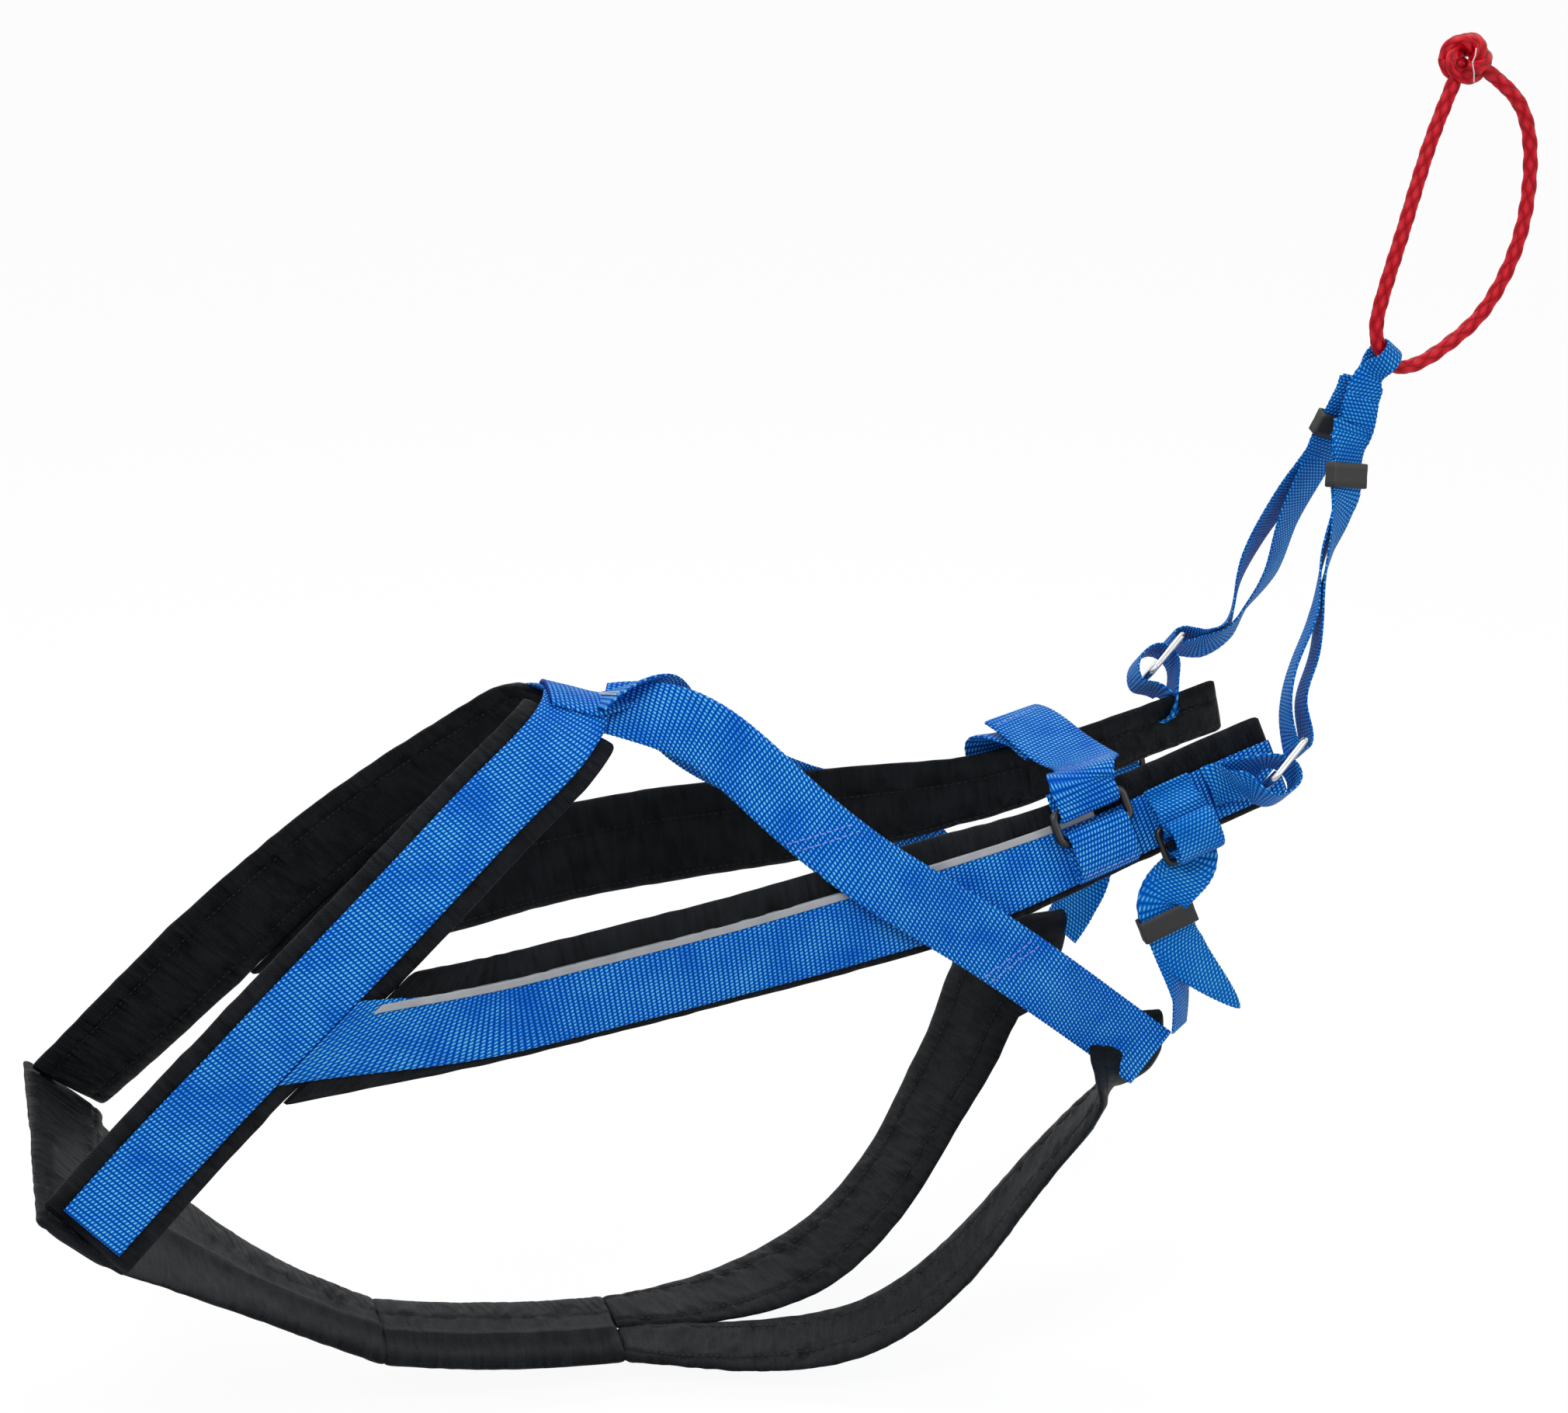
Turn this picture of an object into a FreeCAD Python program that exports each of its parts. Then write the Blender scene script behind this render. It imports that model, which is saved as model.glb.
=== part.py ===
"""Sled-dog pulling harness: padded straps, belly adjusters, loin strap, tug yoke and rope loop.

Units are millimetres.  The origin is the withers junction on top of the dog's back, +X runs
toward the tail, +Y to the dog's far (left-hand) side and +Z up.  "near" pieces lie at -Y.
"""
import FreeCAD, Part
import math
import os

import Sketcher

Vector = FreeCAD.Vector
doc = FreeCAD.newDocument("PullingHarness")

# --------------------------------------------------------------------------------------
# Driving dimensions
# --------------------------------------------------------------------------------------
SIZES = {
    "seam_gap": 0.3,            # between sewn layers and between pieces that meet
    "webbing_width": 40,        # wide nylon webbing: neck, side, back, rib and loin straps
    "webbing_thick": 2.2,
    "pad_width": 60,            # neck, side and breast pads
    "pad_thick": 7,
    "side_pad_width": 64,
    "side_pad_taper": 6,        # taken off each edge behind the ribs
    "side_web_inset": 5,        # from the side webbing to the pad's lower edge
    "rib_pad_width": 68,
    "sternum_width": 76,
    "sternum_thick": 13,
    "piping_width": 4,          # reflective piping along the top of the side webbing
    "piping_height": 1.8,
    "belly_width": 30,          # belly adjuster webbing
    "tug_width": 25,            # tug webbing
    "thin_web": 1.6,            # thickness of the belly and tug webbing
    "ring_wire": 4,             # steel tug rings
    "ring_length": 38,
    "ring_corner": 4.5,
    "ring_room": 1.8,           # webbing loop to ring wire
    "slide_wall": 4,            # plastic belly slides
    "slide_slot": 6.5,
    "keeper_wall": 1.8,         # rubber strap keepers
    "keeper_length": 15,
    "keeper_room": 0.8,
    "loin_ring_wall": 5,        # plastic ring of the loin strap
    "loin_ring_slot": 13,
    "loin_ring_drop": -3,       # its lower bar, below the side strap's middle line
    "loin_strap_aft": 284,
    "loin_far_aft": 268,
    "loin_rise": -49,
    "far_rib_slip": 20,         # the far rib strap hangs this much further forward
    "hook_tape_thick": 1.2,
    "slide_drop": 12,           # the slide's top bar, below the side strap's middle line
    "belly_aft": 335,
    "rope_diameter": 8,
    "rope_room": 3.6,
    "eye_narrowing": 5.5,       # the eye's fold is drawn in by the rope
    "tab_near_ahead": 44,       # the sewn root of each tug tab, forward of the side strap's end
    "tab_far_ahead": 45,
    "knot_diameter": 29,
}

# Points of the dog's body that the straps follow: aft of the withers, out from the mid
# plane, and up.
BODY = {
    "shoulder": (-115, 70, -68),
    "arm": (-227, 89, -166),
    "chest": (-313, 101, -248),
    "elbow": (-58, 96, -134),
    "flank": (60, 92, -117),
    "loin": (238, 63, -95),
    "rump": (402, 43, -49),
    "saddle": (94, 53, -42),
    "rib_side": (196, 91, -120),
    "rib_top": (305, 79, -190),
    "rib_turn": (286, 82, -241),
    "rib_fold": (206, 67, -346),
    "rib_low": (146, 50, -397),
    "brisket": (2, 0, -404),
    "breastbone": (-143, 0, -385),
    "forechest": (-212, 0, -343),
}

sheet = doc.addObject("Spreadsheet::Sheet", "Sizes")
row = 1
for name, value in SIZES.items():
    sheet.set(f"A{row}", name)
    sheet.set(f"B{row}", str(value))
    sheet.setAlias(f"B{row}", name)
    row += 1
for name, place in BODY.items():
    for suffix, value in zip(("aft", "out", "up"), place):
        sheet.set(f"A{row}", f"{name} {suffix}")
        sheet.set(f"B{row}", str(value))
        sheet.setAlias(f"B{row}", f"{name}_{suffix}")
        row += 1
doc.recompute()


def size(name):
    return float(sheet.get(name))


def body_point(name, sign=1):
    """A landmark on the far side (sign 1) or the near side (sign -1)."""
    return Vector(size(name + "_aft"), sign * size(name + "_out"), size(name + "_up"))


gap = size("seam_gap")
web_w = size("webbing_width")
web_t = size("webbing_thick")
thin = size("thin_web")
pad_w = size("pad_width")
pad_t = size("pad_thick")
nodes = []


# --------------------------------------------------------------------------------------
# Straps: a band carried along a smooth centre line with a turning across-direction
# --------------------------------------------------------------------------------------
def spline(points):
    curve = Part.BSplineCurve()
    last = len(points) - 1
    curve.interpolate(Points=points, Parameters=[i / last for i in range(last + 1)])
    return curve


def turned(directions, places, place):
    """The across-direction at a place along the line, blended between the stations."""
    index = 0
    while index < len(places) - 2 and place > places[index + 1]:
        index += 1
    share = (place - places[index]) / (places[index + 1] - places[index])
    start = Vector(directions[index]).normalize()
    stop = Vector(directions[index + 1]).normalize()
    return start + (stop - start) * share


def frames(stations, outward, steps=12):
    """Centre, across and outward directions along the line through the stations."""
    centres = [centre for centre, across in stations]
    spans = [0.0]
    for here, there in zip(centres[:-1], centres[1:]):
        spans.append(spans[-1] + here.distanceToPoint(there))
    places = [span / spans[-1] for span in spans]
    line = Part.BSplineCurve()
    line.interpolate(Points=centres, Parameters=places)
    result = []
    for step in range(steps + 1):
        place = step / steps
        centre = line.value(place)
        along = line.tangent(place)[0]
        across = turned([across for centre, across in stations], places, place)
        across = (across - along * across.dot(along)).normalize()
        out = along.cross(across).normalize() * outward
        result.append((centre, across, out))
    return result


def spot(frame, across, height):
    centre, side, out = frame
    return centre + side * across + out * height


def band_from_rails(rails):
    """Closed solid inside four rails, each a list of points, given round the section."""
    edges = [spline(rail).toShape() for rail in rails]
    faces = []
    for one, two in zip(edges, edges[1:] + edges[:1]):
        faces.append(Part.makeRuledSurface(one, two))
    for end in (0, -1):
        low = Part.makeLine(rails[0][end], rails[1][end])
        high = Part.makeLine(rails[3][end], rails[2][end])
        faces.append(Part.makeRuledSurface(low, high))
    solid = Part.Solid(Part.Shell(faces))
    solid.fix(1e-4, 1e-5, 1e-3)
    if solid.Volume < 0:
        solid.reverse()
    return solid


def band_rails(path, left, right, low, high):
    """Four edge lines of a band; each bound is a number or one number per frame."""
    def series(bound):
        return bound if isinstance(bound, list) else [bound] * len(path)

    corners = ((left, low), (right, low), (right, high), (left, high))
    rails = []
    for across, height in corners:
        rails.append([spot(f, u, v) for f, u, v in zip(path, series(across), series(height))])
    return rails


def band(path, left, right, low, high):
    """Solid band along the frames."""
    return band_from_rails(band_rails(path, left, right, low, high))


def folded_band(path, half, thick):
    """Thin webbing along a path with tight folds, made section by section."""
    halves = half if isinstance(half, list) else [half] * len(path)
    rails = band_rails(path, [-h for h in halves], halves, -thick / 2, thick / 2)
    sections = []
    for corners in zip(*rails):
        sections.append(Part.makePolygon(list(corners) + [corners[0]]))
    solid = Part.makeLoft(sections, True, True)
    if solid.Volume < 0:
        solid.reverse()
    return solid


def slab(low, high):
    """Closed solid between two skins, each a grid of points: a list of columns."""
    skins = []
    for grid in (low, high):
        surface = Part.BSplineSurface()
        surface.interpolate(grid)
        skins.append(surface.toShape())
    faces = list(skins)
    for one, two in zip(skins[0].Edges, skins[1].Edges):
        faces.append(Part.makeRuledSurface(one, two))
    solid = Part.Solid(Part.Shell(faces))
    solid.fix(1e-4, 1e-5, 1e-3)
    if solid.Volume < 0:
        solid.reverse()
    return solid


def piece(label, shape):
    feature = doc.addObject("Part::Feature", label)
    feature.Shape = shape
    feature.Label = label
    nodes.append(feature)
    return feature


def mirrored(stations, sign):
    """Stations given for the far side, moved to the side of the sign."""
    return [(Vector(c.x, c.y * sign, c.z), Vector(a.x, a.y * sign, a.z)) for c, a in stations]


# --------------------------------------------------------------------------------------
# Neck straps and withers
# --------------------------------------------------------------------------------------
pad_face = pad_t / 2
web_low = pad_face + gap
web_high = web_low + web_t
SIDES = (("near", -1), ("far", 1))


def between(path, start, stop):
    return path[start:len(path) + stop]


def neck_path(sign):
    stations = [
        (Vector(-14, 2.5, 6), Vector(0.95, 0, -0.3)),
        (Vector(-26, 28, -2), Vector(0.88, 0.2, -0.42)),
        (Vector(-64, 49, -29), Vector(0.61, 0.4, -0.68)),
        (body_point("shoulder"), Vector(0.5, 0.4, -0.76)),
        (body_point("arm"), Vector(0.63, 0.12, -0.76)),
        (body_point("chest"), Vector(0.63, 0.32, -0.7)),
    ]
    return frames(mirrored(stations, sign), -sign, steps=20)


necks = {name: neck_path(sign) for name, sign in SIDES}
PAD_START_STEPS = 2                   # frames of bare webbing at the withers
WEB_END_STEPS = -1                    # the neck webbing stops one frame short of the pad's end
for name, path in necks.items():
    pad_path = between(path, PAD_START_STEPS, 0)
    piece(f"neck_pad_{name}", band(pad_path, -pad_w / 2, pad_w / 2, -pad_face, pad_face))
    web_path = between(path, 0, WEB_END_STEPS)
    piece(f"neck_webbing_{name}", band(web_path, -web_w / 2, web_w / 2, web_low, web_high))

# the patch sewn over both neck webbings, running aft under the back straps
patch_height = web_high + gap + web_t / 2
patch = []
for across in (-web_w / 2, -web_w / 4, 0, web_w / 4):
    place = spot(necks["far"][0], across, patch_height)
    patch.append((Vector(place.x, 0, place.z), Vector(0, 1, 0)))
patch_level = patch[-1][0].z - 3
patch += [(Vector(25, 0, patch_level), Vector(0, 1, 0)), (Vector(50, 0, patch_level), Vector(0, 1, 0))]
patch_half = [web_w / 2] * 5 + [web_w / 2 - 3 * step for step in range(1, 5)] + [web_w / 8] * 4
piece("withers_patch", band(frames(patch, 1, 12), [-half for half in patch_half], patch_half,
                            -web_t / 2, web_t / 2))

# --------------------------------------------------------------------------------------
# Breast pad and sternum strap
# --------------------------------------------------------------------------------------
def breast_path():
    """Runs across the dog's chest, square to the ends of the neck pads."""
    stations = []
    for sign, path in ((-1, necks["near"]), (1, necks["far"])):
        centre, across, out = path[-1]
        along = (centre - path[-2][0]).normalize()
        seat = centre + along * (pad_face + gap)
        edge = seat + Vector(0, sign * pad_face, 0)
        stations.append((edge, across))
    reach = (stations[0][0] + stations[1][0]) * 0.5
    middle = (reach + Vector(-1, 0, 1), Vector(0.67, 0, -0.74))
    return frames([stations[0], middle, stations[1]], 1, steps=12)


breast = breast_path()
piece("breast_pad", band(breast, -pad_w / 2, pad_w / 2, -pad_face, pad_face))

sternum_w = size("sternum_width")
sternum_t = size("sternum_thick")
breast_edge = spot(breast[6], pad_w / 2 + gap, 0)
fore_half = spot(breast[12], pad_w / 2, 0).y - pad_t
fore = frames([(breast_edge, Vector(0, 1, 0)),
               (body_point("forechest"), Vector(0, 1, 0)),
               (body_point("breastbone"), Vector(0, 1, 0))], -1, steps=10)
widths = []
depths = []
for step in range(11):
    left = 1 - step / 10
    widths.append(sternum_w / 2 + (fore_half - sternum_w / 2) * left ** 2.2)
    depths.append(sternum_t - (sternum_t - pad_t) * left)
piece("sternum_front", band(fore, [-w for w in widths], widths,
                            [-d / 2 for d in depths], [d / 2 for d in depths]))
belly_start = body_point("breastbone") + Vector(3 * gap + 0.3, 0, 0)
rear = frames([(belly_start, Vector(0, 1, 0)),
               ((belly_start + body_point("brisket")) * 0.5 + Vector(0, 0, -4), Vector(0, 1, 0)),
               (body_point("brisket"), Vector(0, 1, 0))], -1, steps=6)
piece("sternum_rear", band(rear, -sternum_w / 2, sternum_w / 2, -sternum_t / 2, sternum_t / 2))

# --------------------------------------------------------------------------------------
# Side straps: the pad starts along the lower edge of the neck pad
# --------------------------------------------------------------------------------------
side_w = size("side_pad_width")
piping_w = size("piping_width")
PIPING_END = 16                 # frames of the side strap that carry the piping
FORK_TOP = 9                    # neck frames where the side strap's edges meet the neck
FORK_LOW = 14


SIDE_TAPER = (170, 300)


def side_path(sign):
    stations = [
        (body_point("elbow"), Vector(0.1, 0.0, -0.99)),
        (body_point("flank"), Vector(0.06, 0.04, -1)),
        (Vector(178, 73, -104), Vector(0.0, 0.24, -0.97)),
        (body_point("loin"), Vector(0.1, 0.38, -0.92)),
        (Vector(304, 52, -79), Vector(0.05, 0.36, -0.93)),
        (body_point("rump"), Vector(0.1, 0.3, -0.95)),
    ]
    return frames(mirrored(stations, sign), sign, steps=20)


def partway(path, index):
    """Frame at a fractional index of a path."""
    whole = min(int(index), len(path) - 2)
    share = index - whole
    return tuple(one + (two - one) * share for one, two in zip(path[whole], path[whole + 1]))


def forked_slab(neck, side, left, right, low, high):
    """Slab on the side path whose start fans out along the neck strap's lower edge.

    left and right are shares of the pad's width, from its top edge to its bottom edge.
    """
    grids = []
    for height in (low, high):
        columns = []
        shares = [left + (right - left) * k / 5 for k in range(6)]
        columns.append([spot(partway(neck, FORK_TOP + (FORK_LOW - FORK_TOP) * share),
                             pad_w / 2 + gap, height) for share in shares])
        for frame in side:
            half = side_half(frame)
            columns.append([spot(frame, half * (2 * share - 1), height) for share in shares])
        grids.append(columns)
    return slab(*grids)


def side_half(frame):
    """Half width of the side pad, narrower behind the loin strap."""
    share = (frame[0].x - SIDE_TAPER[0]) / (SIDE_TAPER[1] - SIDE_TAPER[0])
    share = max(0.0, min(1.0, share))
    return side_w / 2 - size("side_pad_taper") * share * share * (3 - 2 * share)


sides = {name: side_path(sign) for name, sign in SIDES}
web_right = 1 - size("side_web_inset") / side_w
web_left = web_right - web_w / side_w
for name, path in sides.items():
    neck = necks[name]
    piece(f"side_pad_{name}", forked_slab(neck, path, 0, 1, -pad_face, pad_face))
    piece(f"side_webbing_{name}", forked_slab(neck, path, web_left, web_right, web_low, web_high))
    trimmed = path[:PIPING_END]
    tops = [side_half(frame) * (2 * web_left - 1) - gap for frame in trimmed]
    piece(f"side_piping_{name}", band(trimmed, [top - piping_w for top in tops], tops, web_low,
                                      web_low + size("piping_height")))

# --------------------------------------------------------------------------------------
# Back straps and rib straps
# --------------------------------------------------------------------------------------
back_lift = patch_level + web_t + gap + 0.6


rib_seat = body_point("rib_top").y + pad_face + gap + web_t / 2


def back_path(sign):
    slip = size("far_rib_slip") if sign > 0 else 0
    stations = [
        (Vector(36, 0.8, back_lift), Vector(1, 0, -0.1)),
        (Vector(37, 9, back_lift - 1.5), Vector(0.97, 0, 0)),
        (Vector(47, 23, back_lift - 11), Vector(0.85, -0.1, 0.45)),
        (body_point("saddle"), Vector(0.62, -0.25, 0.74)),
        (Vector(140, 85, -80), Vector(0.6, -0.3, 0.74)),
        (body_point("rib_side"), Vector(0.6, -0.16, 0.78)),
        (Vector(250 - slip / 2, 94, -162), Vector(0.62, -0.06, 0.78)),
        (Vector(284 - slip, rib_seat + 0.8, -192), Vector(0.64, 0, 0.77)),
        (Vector(316 - slip, rib_seat, -219), Vector(0.64, 0, 0.77)),
    ]
    return frames(mirrored(stations, sign), -sign, steps=20)


def rib_path(sign):
    slip = Vector(size("far_rib_slip") if sign > 0 else 0, 0, 0)
    stations = [
        (body_point("rib_top") - slip, Vector(-0.93, 0, 0.37)),
        (body_point("rib_top") - slip + Vector(-3, 0, -20), Vector(-0.93, 0.05, 0.37)),
        (body_point("rib_turn") - slip, Vector(-0.5, 0.87, -0.1)),
        (Vector(261, 78, -273) - slip / 2, Vector(-0.42, 0.91, -0.08)),
        (Vector(238, 74, -303) - slip / 4, Vector(-0.3, 0.95, 0.0)),
        (body_point("rib_fold"), Vector(-0.1, 0.98, 0.15)),
        (body_point("rib_low"), Vector(-0.05, 0.98, 0.1)),
        (Vector(74, 31 + gap, -409), Vector(0, 1, 0)),
        (body_point("brisket") + Vector(gap, sternum_w / 4, 0), Vector(0, 1, 0)),
    ]
    return frames(mirrored(stations, sign), sign, steps=24)


rib_half = size("rib_pad_width") / 2
rib_end = sternum_w / 4 - gap
for name, sign in SIDES:
    back = back_path(sign)
    piece(f"back_webbing_{name}", band(back, -web_w / 2, web_w / 2, -web_t / 2, web_t / 2))
    rib = rib_path(sign)
    halves = [rib_half] * 25
    for index in range(17, 25):
        halves[index] = rib_half + (rib_end - rib_half) * ((index - 16) / 8) ** 1.5
    piece(f"rib_pad_{name}", band(rib, [-w for w in halves], halves, -pad_face, pad_face))
    web_half = [min(web_w / 2, w - gap) for w in halves]
    piece(f"rib_webbing_{name}", band(between(rib, 4, 0), [-w for w in web_half[4:]],
                                      web_half[4:], web_low, web_high))


# --------------------------------------------------------------------------------------
# Plastic, rubber and steel fittings: sketched bodies set into place
# --------------------------------------------------------------------------------------
def new_body(label):
    body = doc.addObject("PartDesign::Body", label)
    body.Label = label
    sketch = body.newObject("Sketcher::SketchObject", label + "_outline")
    plane = [f for f in body.Origin.OriginFeatures if f.Role == "XY_Plane"][0]
    sketch.AttachmentSupport = (plane, [""])
    sketch.MapMode = "FlatFace"
    return body, sketch


def rectangle(sketch, tag, width, length, edge=None, above=True):
    """Rectangle centred on the Y axis, and on the X axis unless edge is its distance from it."""
    base = sketch.GeometryCount
    half_w = value_of(width) / 2
    half_l = value_of(length) / 2
    middle = 0
    if edge:
        middle = (value_of(edge) + half_l) * (1 if above else -1)
    corners = [Vector(-half_w, middle - half_l), Vector(half_w, middle - half_l),
               Vector(half_w, middle + half_l), Vector(-half_w, middle + half_l)]
    for index in range(4):
        line = Part.LineSegment(corners[index], corners[(index + 1) % 4])
        sketch.addGeometry(line, False)
    for index in range(4):
        joint = Sketcher.Constraint("Coincident", base + index, 2, base + (index + 1) % 4, 1)
        sketch.addConstraint(joint)
    sketch.addConstraint(Sketcher.Constraint("Horizontal", base + 2))
    sketch.addConstraint(Sketcher.Constraint("Vertical", base + 3))
    if edge:
        sketch.addConstraint(Sketcher.Constraint("Vertical", base + 1))
    bound(sketch, Sketcher.Constraint("DistanceX", base, 1, base, 2, 2 * half_w),
          tag + "_width", width)
    bound(sketch, Sketcher.Constraint("DistanceY", base + 1, 1, base + 1, 2, 2 * half_l),
          tag + "_length", length)
    sketch.addConstraint(Sketcher.Constraint("Symmetric", base, 1, base, 2, -2))
    if not edge:
        sketch.addConstraint(Sketcher.Constraint("Symmetric", base + 1, 1, base + 1, 2, -1))
    elif above:
        bound(sketch, Sketcher.Constraint("DistanceY", -1, 1, base, 1, value_of(edge)),
              tag + "_edge", edge)
    else:
        bound(sketch, Sketcher.Constraint("DistanceY", base + 2, 1, -1, 1, value_of(edge)),
              tag + "_edge", edge)


def bound(sketch, constraint, tag, expression):
    index = sketch.addConstraint(constraint)
    sketch.renameConstraint(index, tag)
    sketch.setExpression("Constraints." + tag, expression)


def value_of(expression):
    """Number of a sheet expression, for a first drawing of a sketch."""
    return doc.Sizes.evalExpression(expression)


def set_down(body, centre, x_axis, y_axis):
    """Turn the body's X and Y axes to the given directions and set it at the centre."""
    x_axis = Vector(x_axis).normalize()
    z_axis = x_axis.cross(Vector(y_axis)).normalize()
    y_axis = z_axis.cross(x_axis)
    turn = FreeCAD.Rotation(x_axis, y_axis, z_axis, "XYZ")
    body.Placement = FreeCAD.Placement(centre, turn)
    nodes.append(body)


def plate(label, width, length, depth, openings, corner):
    """Flat plate with rectangular openings and rounded outer corners."""
    body, sketch = new_body(label)
    rectangle(sketch, "plate", width, length)
    for index, opening in enumerate(openings):
        rectangle(sketch, f"slot{index}", *opening)
    pad = body.newObject("PartDesign::Pad", label + "_plate")
    pad.Profile = sketch
    pad.setExpression("Length", depth)
    pad.Midplane = True
    doc.recompute()
    if corner:
        half_w = value_of(width) / 2
        half_l = value_of(length) / 2
        names = []
        for number, edge in enumerate(pad.Shape.Edges, start=1):
            middle = edge.CenterOfMass
            if abs(abs(middle.x) - half_w) + abs(abs(middle.y) - half_l) < 1e-6:
                names.append(f"Edge{number}")
        rounding = body.newObject("PartDesign::Fillet", label + "_corners")
        rounding.Base = (pad, names)
        rounding.setExpression("Radius", corner)
        body.Tip = rounding
    return body


def keeper(label, centre, across, along, width):
    """Rubber sleeve round two layers of webbing."""
    stack = "2 * Sizes.thin_web + Sizes.seam_gap + 2 * Sizes.keeper_room"
    inner = f"Sizes.{width} + 2 * Sizes.keeper_room"
    body = plate(label, f"{inner} + 2 * Sizes.keeper_wall", f"{stack} + 2 * Sizes.keeper_wall",
                 "Sizes.keeper_length", [(inner, stack)], "Sizes.keeper_wall * 0.7")
    set_down(body, centre, across, Vector(along).cross(Vector(across)))
    return body


def at_aft(path, aft):
    """Frame of a path where its centre line reaches a distance aft of the withers."""
    for here, there in zip(path[:-1], path[1:]):
        if here[0].x <= aft <= there[0].x:
            share = (aft - here[0].x) / (there[0].x - here[0].x)
            return tuple(one + (two - one) * share for one, two in zip(here, there))
    raise ValueError("the path does not reach that far")


def lengthwise(frame):
    """Direction along a side strap, toward the tail."""
    centre, across, out = frame
    along = across.cross(out)
    return along if along.x > 0 else along * -1


def bight(bar, radius, opens):
    """Points (u, v) of webbing folded round a bar; opens is the side both legs leave toward."""
    turn = [(bar[0] + opens * 2.4 * radius, bar[1] - radius),
            (bar[0] + opens * 0.8 * radius, bar[1] - radius)]
    for step in range(7):
        angle = math.radians(-90 + 30 * step)
        turn.append((bar[0] - opens * radius * math.cos(angle),
                     bar[1] + radius * math.sin(angle)))
    turn += [(bar[0] + opens * 0.8 * radius, bar[1] + radius),
             (bar[0] + opens * 2.4 * radius, bar[1] + radius)]
    return turn


def flat_band(frame, profile, half_width, thick):
    """Band whose centre line lies in the plane square to a side strap: (across, height)."""
    along = lengthwise(frame)
    stations = [(spot(frame, u, v), along) for u, v in profile]
    return folded_band(frames(stations, 1, steps=5 * len(profile)), half_width, thick)


# --------------------------------------------------------------------------------------
# Loin strap: anchor webbing and ring on the near side, flap over the back, far under strap
# --------------------------------------------------------------------------------------
near_loin = at_aft(sides["near"], size("loin_strap_aft"))
far_loin = at_aft(sides["far"], size("loin_far_aft"))
wall = size("loin_ring_wall")
slot = size("loin_ring_slot")
bar_room = wall * 0.5 * math.sqrt(2) + 2 * gap  # the webbing clears the bar's corners
turn_radius = bar_room + web_t / 2
sewn = web_high + gap + web_t / 2               # height of webbing sewn on the side webbing
bar_height = sewn + web_t / 2 + bar_room
low_bar = size("loin_ring_drop")
high_bar = low_bar - slot - wall
hem = side_half(near_loin) - 3                  # the anchor stops short of the pad's edge

anchor = [(hem, sewn), ((hem + low_bar) / 2, sewn)]
anchor += bight((low_bar, bar_height), turn_radius, 1)
anchor += [(hem - 2, sewn + web_t + gap + 1)]
piece("loin_anchor", flat_band(near_loin, anchor, web_w / 2, web_t))

ring = plate("loin_ring", "Sizes.webbing_width + 2 + 2 * Sizes.loin_ring_wall",
             "Sizes.loin_ring_slot + 2 * Sizes.loin_ring_wall", "Sizes.loin_ring_wall",
             [("Sizes.webbing_width + 2", "Sizes.loin_ring_slot")],
             "Sizes.loin_ring_wall * 0.8")
set_down(ring, spot(near_loin, (low_bar + high_bar) / 2, bar_height), lengthwise(near_loin),
         near_loin[1])

fold = bight((high_bar, bar_height), turn_radius, -1)
flap = [(spot(near_loin, u, v), lengthwise(near_loin)) for u, v in fold]
rise = size("loin_rise")
flap_middle = Vector(284, 2, rise)
flap_far = Vector(size("loin_far_aft"), 50, rise + 7)
over_back = Vector(0.97, -0.15, 0.15)
flap += [(Vector(289, -30, rise + 1), over_back), (flap_middle, over_back),
         (Vector(276, 26, rise + 5), over_back), (flap_far, over_back)]
flap_path = frames(flap, 1, steps=60)
piece("loin_flap", folded_band(flap_path, web_w / 2, web_t))

tape_t = size("hook_tape_thick")
tape_low = web_t / 2 + gap                      # the normal points down into the back
tape_path = flap_path[46:60]
piece("loin_hook_tape", band(tape_path, -web_w / 2 + 2, web_w / 2 - 2, tape_low, tape_low + tape_t))
under_drop = tape_low + tape_t + 2 * gap + web_t / 2
under = [(spot(flap_path[i], 0, under_drop), flap_path[i][1]) for i in (44, 48, 51)]
under += [(spot(far_loin, 4 - side_w / 2, sewn), lengthwise(far_loin)),
          (spot(far_loin, 16 - side_w / 2, sewn), lengthwise(far_loin)),
          (spot(far_loin, 0, sewn), lengthwise(far_loin)),
          (spot(far_loin, hem, sewn), lengthwise(far_loin))]
piece("loin_under_strap", band(frames(under, 1, 20), -web_w / 2, web_w / 2, -web_t / 2, web_t / 2))

# --------------------------------------------------------------------------------------
# Belly adjusters: sewn loop, slide, strap doubled through the slide, keeper
# --------------------------------------------------------------------------------------
belly_w = size("belly_width")
slide_wall = size("slide_wall")
slide_slot = size("slide_slot")
slide_room = slide_wall * 0.5 * math.sqrt(2) + gap
layer = thin + gap
sewn_thin = web_high + gap + thin / 2
top_bar = size("slide_drop")
middle_bar = top_bar + slide_wall + slide_slot
slide_height = sewn_thin + thin / 2 + slide_room
loop_radius = slide_room + thin / 2
# the loose end below the keeper: long and pointed on the near side, tucked short on the far one
BELLY_TAILS = {"near": [((345, -80, -165), (0.88, 0.1, 0.47)), ((372, -83, -193), (0.72, 0.1, 0.69))],
               "far": [((334, 80, -155), (0.93, 0, 0.37)), ((338, 81, -164), (0.93, 0, 0.37))]}
BELLY_STEPS = 110
TAIL_TAPER = {"near": 92, "far": 107}            # the step from which the end is cut to a point
TAIL_ROUNDING = 0.7

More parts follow.
